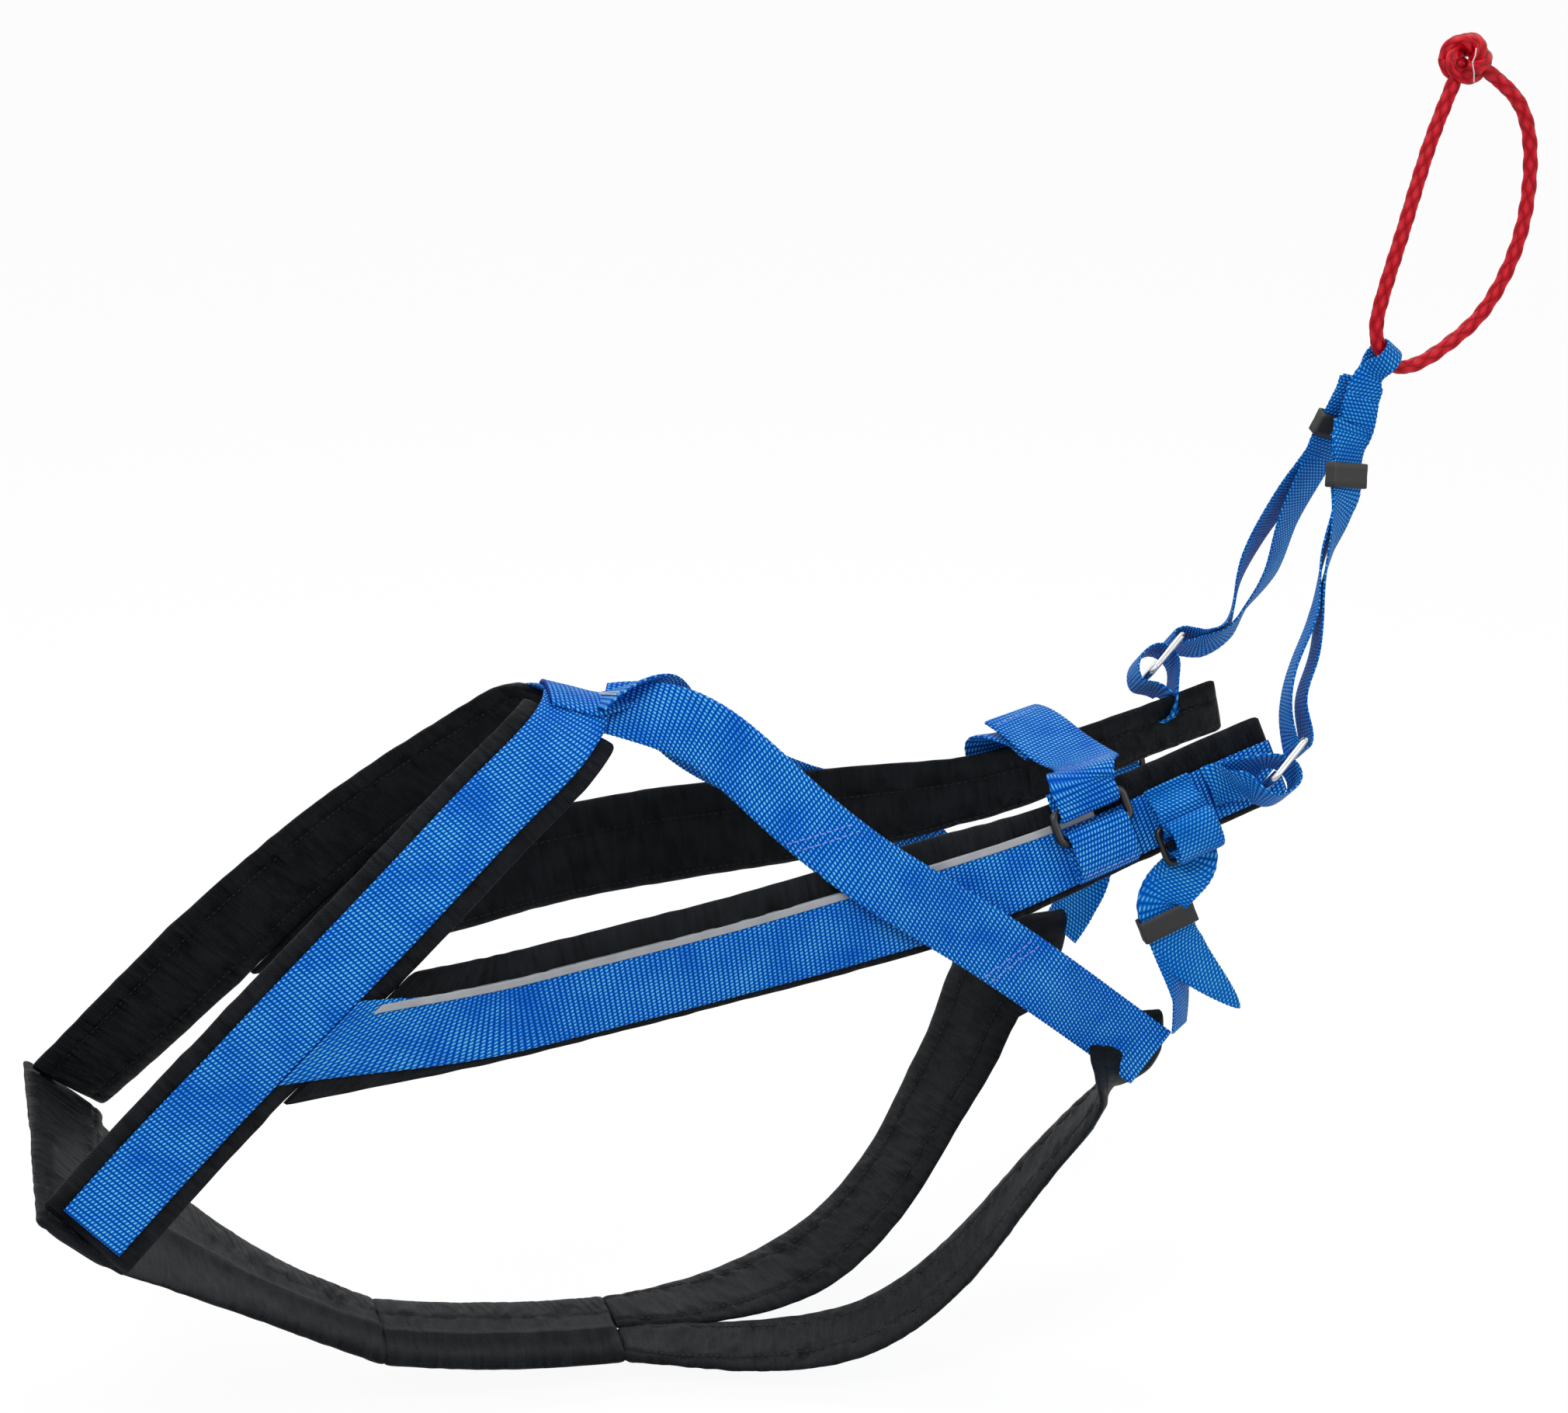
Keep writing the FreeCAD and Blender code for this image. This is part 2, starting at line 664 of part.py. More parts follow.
for name, sign in SIDES:
    seat = at_aft(sides[name], size("belly_aft"))
    along = lengthwise(seat)
    loop = [(top_bar - 24, sewn_thin), (top_bar - 17, sewn_thin)]
    loop += bight((top_bar, slide_height), loop_radius, -1)
    loop += [(top_bar - 17, sewn_thin + layer), (top_bar - 24, sewn_thin + layer)]
    piece(f"belly_loop_{name}", flat_band(seat, loop, belly_w / 2, thin))

    slide = plate(f"belly_slide_{name}", "Sizes.belly_width + 2 + 2 * Sizes.slide_wall",
                  "3 * Sizes.slide_wall + 2 * Sizes.slide_slot", "Sizes.slide_wall",
                  [("Sizes.belly_width + 2", "Sizes.slide_slot",
                    "Sizes.slide_wall / 2", True),
                   ("Sizes.belly_width + 2", "Sizes.slide_slot",
                    "Sizes.slide_wall / 2", False)],
                  "Sizes.slide_wall * 0.8")
    set_down(slide, spot(seat, middle_bar, slide_height), along, seat[1])

    # round the middle bar: up behind the slide, out of the upper slot, back by the lower one
    face = slide_wall / 2 + gap + thin / 2
    slot_middle = (slide_wall + slide_slot) / 2
    threaded = [(9, -face - layer), (3.5, -face - layer), (-0.5, -face),
                (-slot_middle + 1.2, -face + 0.6), (-slot_middle, -slide_wall / 4),
                (-slot_middle, slide_wall / 2), (-slot_middle - 3, face + 2),
                (-slot_middle - 8, face + 6), (-slot_middle - 6, face + 11), (0, face + 13),
                (slot_middle + 4, face + 10), (slot_middle + 6, face + 5),
                (slot_middle + 1.5, face + 1.6), (slot_middle, slide_wall / 2),
                (slot_middle, -slide_wall / 4), (slot_middle + 1.5, -face + 0.4),
                (slot_middle + 4, -face)]
    threaded = [(spot(seat, middle_bar + u, slide_height + v), along) for u, v in threaded]
    keeper_at = Vector(326, sign * 76, -134)
    keeper_across = Vector(0.93, 0, 0.37)
    keeper_along = Vector(0.37, 0, -0.93)
    outward = Vector(0, sign, 0) * (layer / 2)
    edge_on = Vector(0.62, sign * -0.78, 0.1)
    foot = Vector(335 - (size("far_rib_slip") if sign > 0 else 0), sign * 80, -203)
    inner = [(foot, edge_on), (Vector((foot.x + 337) / 2, sign * 78, -182), edge_on)]
    outer = []
    for reach in (11, 0, -11):
        inner.append((keeper_at - outward + keeper_along * reach, keeper_across))
        outer.append((keeper_at + outward - keeper_along * reach, keeper_across))
    outer += [(Vector(*point), Vector(*across)) for point, across in BELLY_TAILS[name]]
    run = frames(inner + threaded + outer, sign, steps=BELLY_STEPS)
    taper_from = TAIL_TAPER[name]
    halves = [belly_w / 2] * taper_from
    for left_over in range(BELLY_STEPS + 1 - taper_from, 0, -1):
        halves.append(belly_w / 2 * (left_over / (BELLY_STEPS + 1 - taper_from)) ** TAIL_ROUNDING)
    piece(f"belly_strap_{name}", folded_band(run, halves, thin))
    keeper(f"belly_keeper_{name}", keeper_at, keeper_across, keeper_along, "belly_width")

# --------------------------------------------------------------------------------------
# Tug tabs and steel rings
# --------------------------------------------------------------------------------------
wire = size("ring_wire")
tug_half = size("tug_width") / 2
ring_pitch = size("ring_length") - wire
bar_line = Vector(0, 0.8, -0.6)                 # the long bars of both rings
ring_rise = Vector(0.738, 0.405, 0.54).normalize()
ring_ahead = ring_rise.cross(bar_line)
tug_radius = wire / 2 + size("ring_room") + thin / 2
LOW_BARS = {"near": Vector(384.2, -77.4, -54.5), "far": Vector(356.5, 53.4, -27.8)}


def wire_ring(label, low_bar_middle):
    """Steel wire ring, a rounded rectangle with its two long bars along the bar line."""
    body, sketch = new_body(label)
    half_l = ring_pitch / 2
    half_w = tug_half + 1 + wire / 2
    corner = size("ring_corner")
    path = body.newObject("Sketcher::SketchObject", label + "_path")
    plane = [f for f in body.Origin.OriginFeatures if f.Role == "XY_Plane"][0]
    path.AttachmentSupport = (plane, [""])
    path.MapMode = "FlatFace"
    straight = ((half_l - corner, half_w, corner - half_l, half_w),
                (-half_l, half_w - corner, -half_l, corner - half_w),
                (corner - half_l, -half_w, half_l - corner, -half_w),
                (half_l, corner - half_w, half_l, half_w - corner))
    for x1, y1, x2, y2 in straight:
        path.addGeometry(Part.LineSegment(Vector(x1, y1), Vector(x2, y2)), False)
    quarter = math.pi / 2
    for index, (x_sign, y_sign) in enumerate(((-1, 1), (-1, -1), (1, -1), (1, 1))):
        centre = Vector(x_sign * (half_l - corner), y_sign * (half_w - corner))
        circle = Part.Circle(centre, Vector(0, 0, 1), corner)
        start = quarter * (index + 1)
        path.addGeometry(Part.ArcOfCircle(circle, start, start + quarter), False)
    side = [f for f in body.Origin.OriginFeatures if f.Role == "XZ_Plane"][0]
    sketch.AttachmentSupport = (side, [""])
    sketch.addGeometry(Part.Circle(Vector(half_l, 0), Vector(0, 0, 1), wire / 2), False)
    bound(sketch, Sketcher.Constraint("Diameter", 0, wire), "wire", "Sizes.ring_wire")
    sketch.addConstraint(Sketcher.Constraint("PointOnObject", 0, 3, -1))
    bound(sketch, Sketcher.Constraint("DistanceX", -1, 1, 0, 3, half_l), "reach",
          "(Sizes.ring_length - Sizes.ring_wire) / 2")
    doc.recompute()
    pipe = body.newObject("PartDesign::AdditivePipe", label + "_wire")
    pipe.Profile = sketch
    pipe.Spine = path
    set_down(body, low_bar_middle + ring_rise * half_l, ring_rise, bar_line)
    return body


def ring_turn(middle, start, stop, radii, steps=6):
    """Points round a ring's bar, angles counted from the ring's rise towards its front."""
    points = []
    for step in range(steps + 1):
        share = step / steps
        angle = math.radians(start + (stop - start) * share)
        radius = radii[0] + (radii[1] - radii[0]) * share
        points.append(middle + (ring_rise * math.cos(angle) + ring_ahead * math.sin(angle)) * radius)
    return points


def by_ring(name, rise, ahead, aside=0, twist=0):
    """Station beside a ring, counted from the middle of its lower bar.

    aside is measured along the bar; twist turns the webbing's width away from the bar line.
    """
    place = LOW_BARS[name] + ring_rise * rise + ring_ahead * ahead + bar_line * aside
    turn = math.radians(twist)
    return place, bar_line * math.cos(turn) - ring_ahead * math.sin(turn)


def tug_tab(name, root, leave, loop, spread):
    """Tab webbing: from the side strap round the ring's lower bar and back to the strap.

    loop gives the turn's places by the ring, spread the room between the two layers at the strap.
    """
    stations = [(spot(root, TAB_ACROSS, sewn_thin), root[1]),
                (spot(leave, TAB_ACROSS, sewn_thin), leave[1])]
    stations += [by_ring(name, *place) for place in loop]
    stations += [(spot(leave, TAB_ACROSS, sewn_thin + layer + spread), leave[1]),
                 (spot(root, TAB_ACROSS, sewn_thin + layer), root[1])]
    piece(f"tug_tab_{name}", folded_band(frames(stations, 1, 110), tug_half, thin))


TAB_ACROSS = 1
TAB_SPREAD = 1.5
TAB_SEWN = {"near": 4, "far": 8}
TAB_LOOPS = {"near": ((1, 18, 14, 43), (9, 13, 4.2, 12), (16, 6, 0.3), (19, -5, 0.1), (14, -12),
                      (3, -12), (-5.5, -6.5), (-7.5, 0.5), (-6, 7, 3), (-6, 13, 11, 43)),
             "far": ((-1, -22), (10, -15), (21, -6), (20.5, 6), (10.5, 11), (-1.5, 8.5),
                     (-6.5, 1), (-3, -6), (-1, -15))}
for name, sign in SIDES:
    wire_ring(f"tug_ring_{name}", LOW_BARS[name])
    tab_aft = body_point("rump").x - size(f"tab_{name}_ahead")
    tug_tab(name, at_aft(sides[name], tab_aft), at_aft(sides[name], tab_aft + TAB_SEWN[name]),
            TAB_LOOPS[name], TAB_SPREAD)

# --------------------------------------------------------------------------------------
# Tug yoke: two doubled legs, their keepers and the sewn eye
# --------------------------------------------------------------------------------------
stack_across = Vector(0.954, 0, -0.3)


def leg(name, down, up, turn):
    """Doubled leg: down one strand, round the ring's upper bar and up the other strand."""
    bar = LOW_BARS[name] + ring_rise * ring_pitch
    turn_points = ring_turn(bar, turn[0], turn[1], (tug_radius, tug_radius))
    stations = down + [(point, bar_line) for point in turn_points] + up
    path = frames(stations, 1, 120)
    piece(f"tug_leg_{name}", folded_band(path, tug_half, thin))


class Sleeve:
    """Place of a keeper on a leg: the strands run straight through it."""

    def __init__(self, centre, across, along):
        self.centre = centre
        self.across = Vector(across).normalize()
        along = Vector(along)
        self.along = (along - self.across * along.dot(self.across)).normalize()
        self.normal = self.along.cross(self.across).normalize()

    def strand(self, side):
        """Stations of one strand through the keeper, from its lower end to its upper end."""
        shift = self.normal * (side * layer / 2)
        return [(self.centre + shift + self.along * reach, self.across) for reach in (-10, 0, 10)]


near_sleeve = Sleeve(Vector(454, -12, 113), Vector(0.89, 0.41, -0.21), Vector(0.22, 0.3, 0.92))
far_sleeve = Sleeve(Vector(457, 12.5, 137), Vector(0.95, 0.1, -0.3), Vector(0.3, -0.25, 0.92))
leg("near",
    [(Vector(460, -1.5 * layer, 142), stack_across)] + near_sleeve.strand(-1)[::-1] +
    [(Vector(437, -26, 75), Vector(0.51, 0.81, -0.3)),
     (Vector(425.5, -40, 38.5), Vector(0.2, 0.93, -0.3)),
     (Vector(409.8, -50, 9.5), Vector(0.2, 0.92, -0.33)),
     (Vector(403.5, -56.5, -14.5), Vector(0.1, 0.9, -0.42))],
    [(Vector(414.5, -53, -14), Vector(0.1, 0.9, -0.42)),
     (Vector(424.5, -44, 9.5), Vector(0.15, 0.93, -0.33)),
     (Vector(429.5, -39, 38.5), Vector(0.2, 0.93, -0.3)),
     (Vector(440, -28, 76), Vector(0.51, 0.81, -0.3))] + near_sleeve.strand(1) +
    [(Vector(460, -2.5 * layer, 142), stack_across)],
    (130, 300))
leg("far",
    [(Vector(466, 2.5 * layer, 168), stack_across)] + far_sleeve.strand(-1)[::-1] +
    [(Vector(444, 23, 109), Vector(0.87, 0.4, -0.3)),
     (Vector(430, 36, 80), Vector(0.77, 0.58, -0.26)),
     (Vector(419, 45, 52), Vector(0.63, 0.73, -0.27)),
     (Vector(414, 53, 22), Vector(0.31, 0.88, -0.36)),
     (Vector(408, 60, -2), Vector(0.15, 0.67, -0.73)),
     (Vector(397, 63.5, -8.5), Vector(0.14, 0.6, -0.78))],
    [(Vector(397, 63.5, -13), Vector(0.14, 0.6, -0.78)),
     (Vector(410, 60, -5), Vector(0.15, 0.67, -0.73)),
     (Vector(419, 53, 11), Vector(0.31, 0.88, -0.36)),
     (Vector(432, 44, 37), Vector(0.63, 0.73, -0.27)),
     (Vector(437, 35, 68), Vector(0.73, 0.63, -0.27)),
     (Vector(447, 22, 107), Vector(0.87, 0.4, -0.3))] + far_sleeve.strand(1) +
    [(Vector(467, 1.5 * layer, 168), stack_across)],
    (50, 236))
for name, sleeve in (("near", near_sleeve), ("far", far_sleeve)):
    keeper(f"tug_keeper_{name}", sleeve.centre, sleeve.across, sleeve.along, "tug_width")

rope = size("rope_diameter")
eye_centre = Vector(479, 0, 181)
eye_axis = Vector(0.75, 0, -0.66)
eye_rise = Vector(0.66, 0, 0.75)
eye_radius = rope / 2 + size("rope_room") + thin / 2
eye_low = Vector(458, 0, 128)
eye_middle = Vector(466, 0, 152)
eye_half = tug_half - 1
eye = [(eye_low - Vector(0, layer / 2, 0), stack_across),
       (eye_middle - Vector(0, layer / 2, 0), stack_across),
       (eye_centre - eye_rise * 11 - Vector(0, layer * 0.8, 0), eye_axis)]
for step in range(7):
    angle = math.radians(200 - 220 * step / 6)
    eye.append((eye_centre + eye_rise * math.sin(angle) * eye_radius
                + Vector(0, math.cos(angle) * eye_radius, 0), eye_axis))
eye += [(eye_centre - eye_rise * 11 + Vector(0, layer * 0.8, 0), eye_axis),
        (eye_middle + Vector(0, layer / 2, 0), stack_across),
        (eye_low + Vector(0, layer / 2, 0), stack_across)]
EYE_STEPS = 90
EYE_FOLD = 22                                   # steps over which the eye narrows each way
eye_halves = []
for index in range(EYE_STEPS + 1):
    drawn_in = max(0.0, 1 - abs(index - EYE_STEPS / 2) / EYE_FOLD) ** 0.5
    eye_halves.append(eye_half - size("eye_narrowing") * drawn_in)
piece("tug_eye", folded_band(frames(eye, 1, EYE_STEPS), eye_halves, thin))

# --------------------------------------------------------------------------------------
# Rope loop and knot
# --------------------------------------------------------------------------------------
ROPE = [(514, 0, 345), (503, 2, 314), (494, 0, 285), (485, -2, 254), (477, -1, 224),
        (472, 0, 200), (476, 0, 184), (487, 0, 173), (503, 1, 175), (522, 2, 186),
        (540, 1, 201), (552, -1, 222), (561, -2, 247), (566, 0, 274), (566, 2, 302),
        (560, 1, 322), (548, -1, 337), (531, 0, 349)]


def rope_tube(points, diameter):
    """Straight runs joined by tangent arcs, swept by the rope's round section."""
    points = [Vector(*point) for point in points]
    edges = []
    radii = []
    start = points[0]
    for before, corner, after in zip(points[:-2], points[1:-1], points[2:]):
        into = corner - before
        onward = after - corner
        turn = into.getAngle(onward)
        reach = 0.45 * min(into.Length, onward.Length)
        radii.append(reach / math.tan(turn / 2))
        into.normalize()
        onward.normalize()
        enter = corner - into * reach
        leave = corner + onward * reach
        halfway = (onward - into).normalize()
        centre = corner + halfway * math.hypot(reach, radii[-1])
        middle = centre - halfway * radii[-1]
        edges.append(Part.LineSegment(start, enter).toShape())
        edges.append(Part.Arc(enter, middle, leave).toShape())
        start = leave
    edges.append(Part.LineSegment(start, points[-1]).toShape())
    path = Part.Wire(edges)
    circle = Part.Circle(points[0], (points[1] - points[0]).normalize(), diameter / 2)
    tube = path.makePipeShell([Part.Wire([circle.toShape()])], True, True)
    ideal = math.pi * (diameter / 2) ** 2 * path.Length
    print("rope length", round(path.Length, 1), "volume ratio", round(tube.Volume / ideal, 4))
    print("rope radii", [round(radius, 1) for radius in radii])
    return tube


piece("tug_rope", rope_tube(ROPE, rope))

knot = doc.addObject("Part::Ellipsoid", "rope_knot")
knot.Label = "rope_knot"
knot.setExpression("Radius1", "Sizes.knot_diameter * 0.46")
knot.setExpression("Radius2", "Sizes.knot_diameter * 0.54")
knot.setExpression("Radius3", "Sizes.knot_diameter * 0.46")
knot.Placement = FreeCAD.Placement(Vector(519, 0, 355), FreeCAD.Rotation())
nodes.append(knot)


# --------------------------------------------------------------------------------------
# Checks and export
# --------------------------------------------------------------------------------------
doc.recompute()
for thing in doc.Objects:
    if "Invalid" in thing.State or "Error" in thing.State:
        raise RuntimeError(f"{thing.Label} failed: {thing.State}")
for node in nodes:
    if node.Shape.isNull() or not node.Shape.isValid():
        raise RuntimeError(f"{node.Label} has no valid shape")
os.makedirs("parts", exist_ok=True)
for node in nodes:
    node.Shape.exportStep(f"parts/{node.Label}.step")
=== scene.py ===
"""Looks of the sled-dog pulling harness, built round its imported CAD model.

Lengths are worked out in millimetres along each strap, as in the CAD source, and every mesh is
written in metres.  "near" is the side at -Y.
"""

import math

import bpy
import numpy as np
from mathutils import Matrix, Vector


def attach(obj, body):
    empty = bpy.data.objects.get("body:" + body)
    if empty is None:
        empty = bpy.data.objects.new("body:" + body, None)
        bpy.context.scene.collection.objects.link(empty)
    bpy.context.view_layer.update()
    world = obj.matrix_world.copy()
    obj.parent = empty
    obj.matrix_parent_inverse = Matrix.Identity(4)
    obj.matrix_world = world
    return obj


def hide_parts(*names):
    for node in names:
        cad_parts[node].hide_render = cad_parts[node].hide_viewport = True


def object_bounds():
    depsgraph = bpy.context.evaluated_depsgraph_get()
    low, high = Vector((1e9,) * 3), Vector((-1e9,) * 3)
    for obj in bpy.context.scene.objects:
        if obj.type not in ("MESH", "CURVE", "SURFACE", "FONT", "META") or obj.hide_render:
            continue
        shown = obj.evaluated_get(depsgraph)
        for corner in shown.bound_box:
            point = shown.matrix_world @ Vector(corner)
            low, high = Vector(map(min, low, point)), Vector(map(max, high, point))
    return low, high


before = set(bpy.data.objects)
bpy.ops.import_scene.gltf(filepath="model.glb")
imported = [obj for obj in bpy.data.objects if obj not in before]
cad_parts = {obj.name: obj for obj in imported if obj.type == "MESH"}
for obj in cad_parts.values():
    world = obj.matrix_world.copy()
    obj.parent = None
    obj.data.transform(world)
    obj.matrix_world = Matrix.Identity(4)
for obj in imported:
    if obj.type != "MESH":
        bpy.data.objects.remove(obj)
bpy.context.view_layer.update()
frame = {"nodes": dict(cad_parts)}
MM = 0.001
SIDES = (("near", -1), ("far", 1))

# ---- Camera ----
AZIMUTH = math.radians(-14.5)
ELEVATION = math.radians(19)
AIM = Vector((0.111, 0, -0.007))
DISTANCE = 1.9
LENS = 74.42


def in_scene(name, data):
    """New object in the scene for a mesh, light, camera or curve."""
    result = bpy.data.objects.new(name, data)
    bpy.context.scene.collection.objects.link(result)
    return result


def aim(item, place, direction):
    item.location = place
    item.rotation_mode = "QUATERNION"
    item.rotation_quaternion = direction.to_track_quat("-Z", "Y")


back = Vector((math.sin(AZIMUTH) * math.cos(ELEVATION), -math.cos(AZIMUTH) * math.cos(ELEVATION),
               math.sin(ELEVATION)))
camera_data = bpy.data.cameras.new("camera")
camera_data.lens = LENS
camera_data.sensor_width = 36
camera_data.sensor_fit = "HORIZONTAL"
camera = in_scene("camera", camera_data)
aim(camera, AIM + back * DISTANCE, -back)
bpy.context.scene.camera = camera


# ---- Materials ----
class Nodes:
    """Short-hand for the node tree of a material or a world."""

    def __init__(self, owner):
        owner.use_nodes = True
        self.tree = owner.node_tree
        self.shader = self.tree.nodes.get("Principled BSDF")

    def add(self, kind, inputs=(), **settings):
        node = self.tree.nodes.new(kind)
        for key, value in settings.items():
            setattr(node, key, value)
        for key, value in inputs:
            node.inputs[key].default_value = value
        return node

    def link(self, source, target):
        self.tree.links.new(source, target)

    def math(self, operation, first, second=None):
        node = self.add("ShaderNodeMath", operation=operation)
        for index, value in enumerate((first, second)):
            if isinstance(value, (int, float)):
                node.inputs[index].default_value = value
            elif value is not None:
                self.link(value, node.inputs[index])
        return node.outputs[0]

    def times(self, first, second):
        return self.math("MULTIPLY", first, second)

    def plus(self, first, second):
        return self.math("ADD", first, second)

    def wave(self, value, turn):
        return self.math("SINE", self.times(value, turn))

    def ramp(self, factor, stops):
        node = self.add("ShaderNodeValToRGB")
        elements = node.color_ramp.elements
        while len(elements) < len(stops):
            elements.new(0.5)
        for element, (place, colour) in zip(elements, stops):
            element.position = place
            element.color = (*colour, 1)
        self.link(factor, node.inputs[0])
        return node.outputs[0]

    def coloured(self, factor, stops):
        self.link(self.ramp(factor, stops), self.shader.inputs["Base Color"])

    def bump(self, height, strength, distance):
        node = self.add("ShaderNodeBump", [("Strength", strength), ("Distance", distance)])
        self.link(height, node.inputs["Height"])
        self.link(node.outputs[0], self.shader.inputs["Normal"])

    def set(self, **values):
        for key, value in values.items():
            self.shader.inputs[key.replace("_", " ")].default_value = value

    def noise(self, scale, detail=3.0, vector=None):
        node = self.add("ShaderNodeTexNoise", [("Scale", scale), ("Detail", detail)])
        if vector is not None:
            self.link(vector, node.inputs["Vector"])
        return node.outputs[0]

    def object_space(self):
        return self.add("ShaderNodeTexCoord").outputs["Object"]

    def strap_space(self):
        """Distances across and along a strap, in mm, from the mesh's UV."""
        uv = self.add("ShaderNodeUVMap", uv_map="UVMap")
        parts = self.add("ShaderNodeSeparateXYZ")
        self.link(uv.outputs[0], parts.inputs[0])
        return parts.outputs[:2]

    def mixed(self, share, first, second, end):
        """Mix of two shaders, linked to the tree's end."""
        mix = self.add("ShaderNodeMixShader")
        for socket, source in zip(mix.inputs, (share, first, second)):
            self.link(source, socket)
        self.link(mix.outputs[0], self.tree.nodes[end].inputs["Surface"])


def new_material(name):
    material = bpy.data.materials.new(name)
    return material, Nodes(material)


def webbing_material(name, rib, dash, slant, shade_colour, middle, highlight_colour):
    """Woven nylon ribs of slanted yarn floats, painted shade in the gaps and painted highlight on the
    crowns.
    """
    material, m = new_material(name)
    across, along = m.strap_space()
    wander = m.times(m.math("SUBTRACT", m.noise(90, 2, m.object_space()), 0.5), 0.9)
    across = m.plus(across, wander)
    rows = m.math("DIVIDE", along, rib)
    row = m.math("FLOOR", rows)
    within_row = m.math("SUBTRACT", rows, row)
    shift = m.times(row, 0.5)
    lean = m.times(within_row, slant)
    columns = m.plus(m.plus(m.math("DIVIDE", across, dash), shift), lean)
    column = m.math("FRACT", columns)
    rib_height, dash_height = (m.wave(share, math.pi) for share in (within_row, column))
    rib_height = m.math("POWER", rib_height, 0.6)
    height = m.times(rib_height, m.math("POWER", dash_height, 1.6))
    body = m.plus(m.times(rib_height, 0.35), m.times(height, 0.65))
    tone = m.times(body, m.plus(m.times(m.noise(42, 5, m.object_space()), 0.8), 0.6))
    # colour follows the weave's height, varied by random tone: painted shade in the gaps between ribs
    # and floats, painted highlight on their crowns
    m.coloured(tone, [(0.0, shade_colour), (0.38, middle), (0.62, middle), (0.95, highlight_colour)])
    m.bump(body, 1.0, 0.0009)
    m.set(Roughness=0.42, Specular_IOR_Level=0.12, Specular_Tint=(0.2, 0.55, 1, 1))
    return material


CLOTH_WEAVE = 1.1
PUCKER_SCALE = (0.035, 0.24)


def nylon_material(name, shade_colour, highlight_colour, roughness):
    """Thin black nylon cloth with a fine weave and faint folds, with painted highlight on their crowns
    and painted shade in their hollows.
    """
    material, m = new_material(name)
    space = m.strap_space()
    weave = m.times(*(m.wave(distance, math.tau / CLOTH_WEAVE) for distance in space))
    folds = m.noise(55, 5, m.object_space())
    stretched = m.add("ShaderNodeCombineXYZ")
    for distance, scale, socket in zip(space, PUCKER_SCALE, stretched.inputs):
        m.link(m.times(distance, scale), socket)
    puckers = m.noise(1.0, 4, stretched.outputs[0])
    height = m.plus(m.plus(m.times(weave, 0.06), m.times(folds, 0.6)), m.times(puckers, 1.3))
    # painted highlight on the crowns of folds and puckers, painted shade in their hollows
    m.coloured(m.times(m.plus(folds, puckers), 0.5), [(0.38, shade_colour), (0.64, highlight_colour)])
    m.bump(height, 1.0, 0.004)
    m.set(Roughness=roughness, Specular_IOR_Level=0.15, Specular_Tint=(0.8, 0.9, 1, 1))
    return material


def plain_material(name, colour, roughness, metallic=0.0, grain=900, strength=0.15):
    material, m = new_material(name)
    shade = [tuple(c * f for c in colour) for f in (0.85, 1.1)]
    m.coloured(m.noise(60, 3, m.object_space()), [(0.3, shade[0]), (0.7, shade[1])])
    m.bump(m.noise(grain, 2, m.object_space()), strength, 0.0003)
    m.set(Roughness=roughness, Metallic=metallic)
    return material


def rope_material(name):
    """Braided cord: the mesh's relief attribute is 0 in the crevices and 1 on the strands."""
    material, m = new_material(name)
    relief = m.add("ShaderNodeAttribute", attribute_name="relief")
    # colour follows the braid relief: painted shade in the crevices, the cord's own red on the
    # strands, painted highlight on their crowns
    m.coloured(relief.outputs["Fac"], [(0.0, (0.16, 0.0, 0.006)), (0.35, (0.42, 0.001, 0.01)),
                                       (0.75, (0.62, 0.003, 0.014)), (1.0, (0.8, 0.02, 0.04))])
    m.bump(m.noise(2500, 3, m.object_space()), 0.35, 0.0004)
    m.set(Roughness=0.32, Specular_IOR_Level=0.2)
    return material


# blue webbing colours: painted shade for the weave's gaps, the strap's own blue, painted highlight for
# the float crowns
BLUE_GAP_SHADE = (0.0, 0.022, 0.24)
BLUE_MIDDLE = (0.0, 0.125, 0.72)
BLUE_HIGHLIGHT = (0.19, 0.76, 1.0)
WEBBING = webbing_material("blue_webbing_look", 2.9, 2.1, 0.45, BLUE_GAP_SHADE, BLUE_MIDDLE, BLUE_HIGHLIGHT)
# thin webbing: the same painted shade, own blue and painted highlight stops
THIN_WEBBING = webbing_material("blue_thin_webbing_look", 2.2, 2.6, 0.5, (0.0, 0.045, 0.32),
                                (0.0, 0.15, 0.68), (0.15, 0.62, 1.0))
# black nylon: painted shade and painted highlight colours for the fold hollows and crowns
NYLON = nylon_material("black_nylon_look", (0.0015, 0.0018, 0.0022), (0.012, 0.014, 0.017), 0.38)
PIPING = plain_material("reflective_piping_look", (0.4, 0.42, 0.45), 0.45)
STEEL = plain_material("bright_steel_look", (0.72, 0.72, 0.73), 0.16, metallic=1, strength=0.03)
RUBBER = plain_material("black_rubber_look", (0.021, 0.021, 0.022), 0.5, strength=0.4)
PLASTIC = plain_material("black_plastic_look", (0.008, 0.008, 0.009), 0.28, strength=0.1)
# hook tape: the same painted shade and painted highlight over its folds
HOOK_TAPE = nylon_material("hook_tape_look", (0.004, 0.004, 0.005), (0.012, 0.012, 0.014), 0.7)
THREAD = plain_material("lavender_thread_look", (0.33, 0.36, 0.9), 0.5)
WHITE_THREAD = plain_material("white_thread_look", (0.75, 0.75, 0.78), 0.5)
BLACK_THREAD = plain_material("black_thread_look", (0.004, 0.004, 0.005), 0.6)
ROPE = rope_material("red_rope_look")
ROPE_END = plain_material("rope_end_look", (0.25, 0.02, 0.008), 0.6)


# ---- Meshes ----
def unit(vectors):
    vectors = np.asarray(vectors, float)
    return vectors / np.linalg.norm(vectors, axis=-1, keepdims=True)


def vec(*values):
    return np.array(values, float)


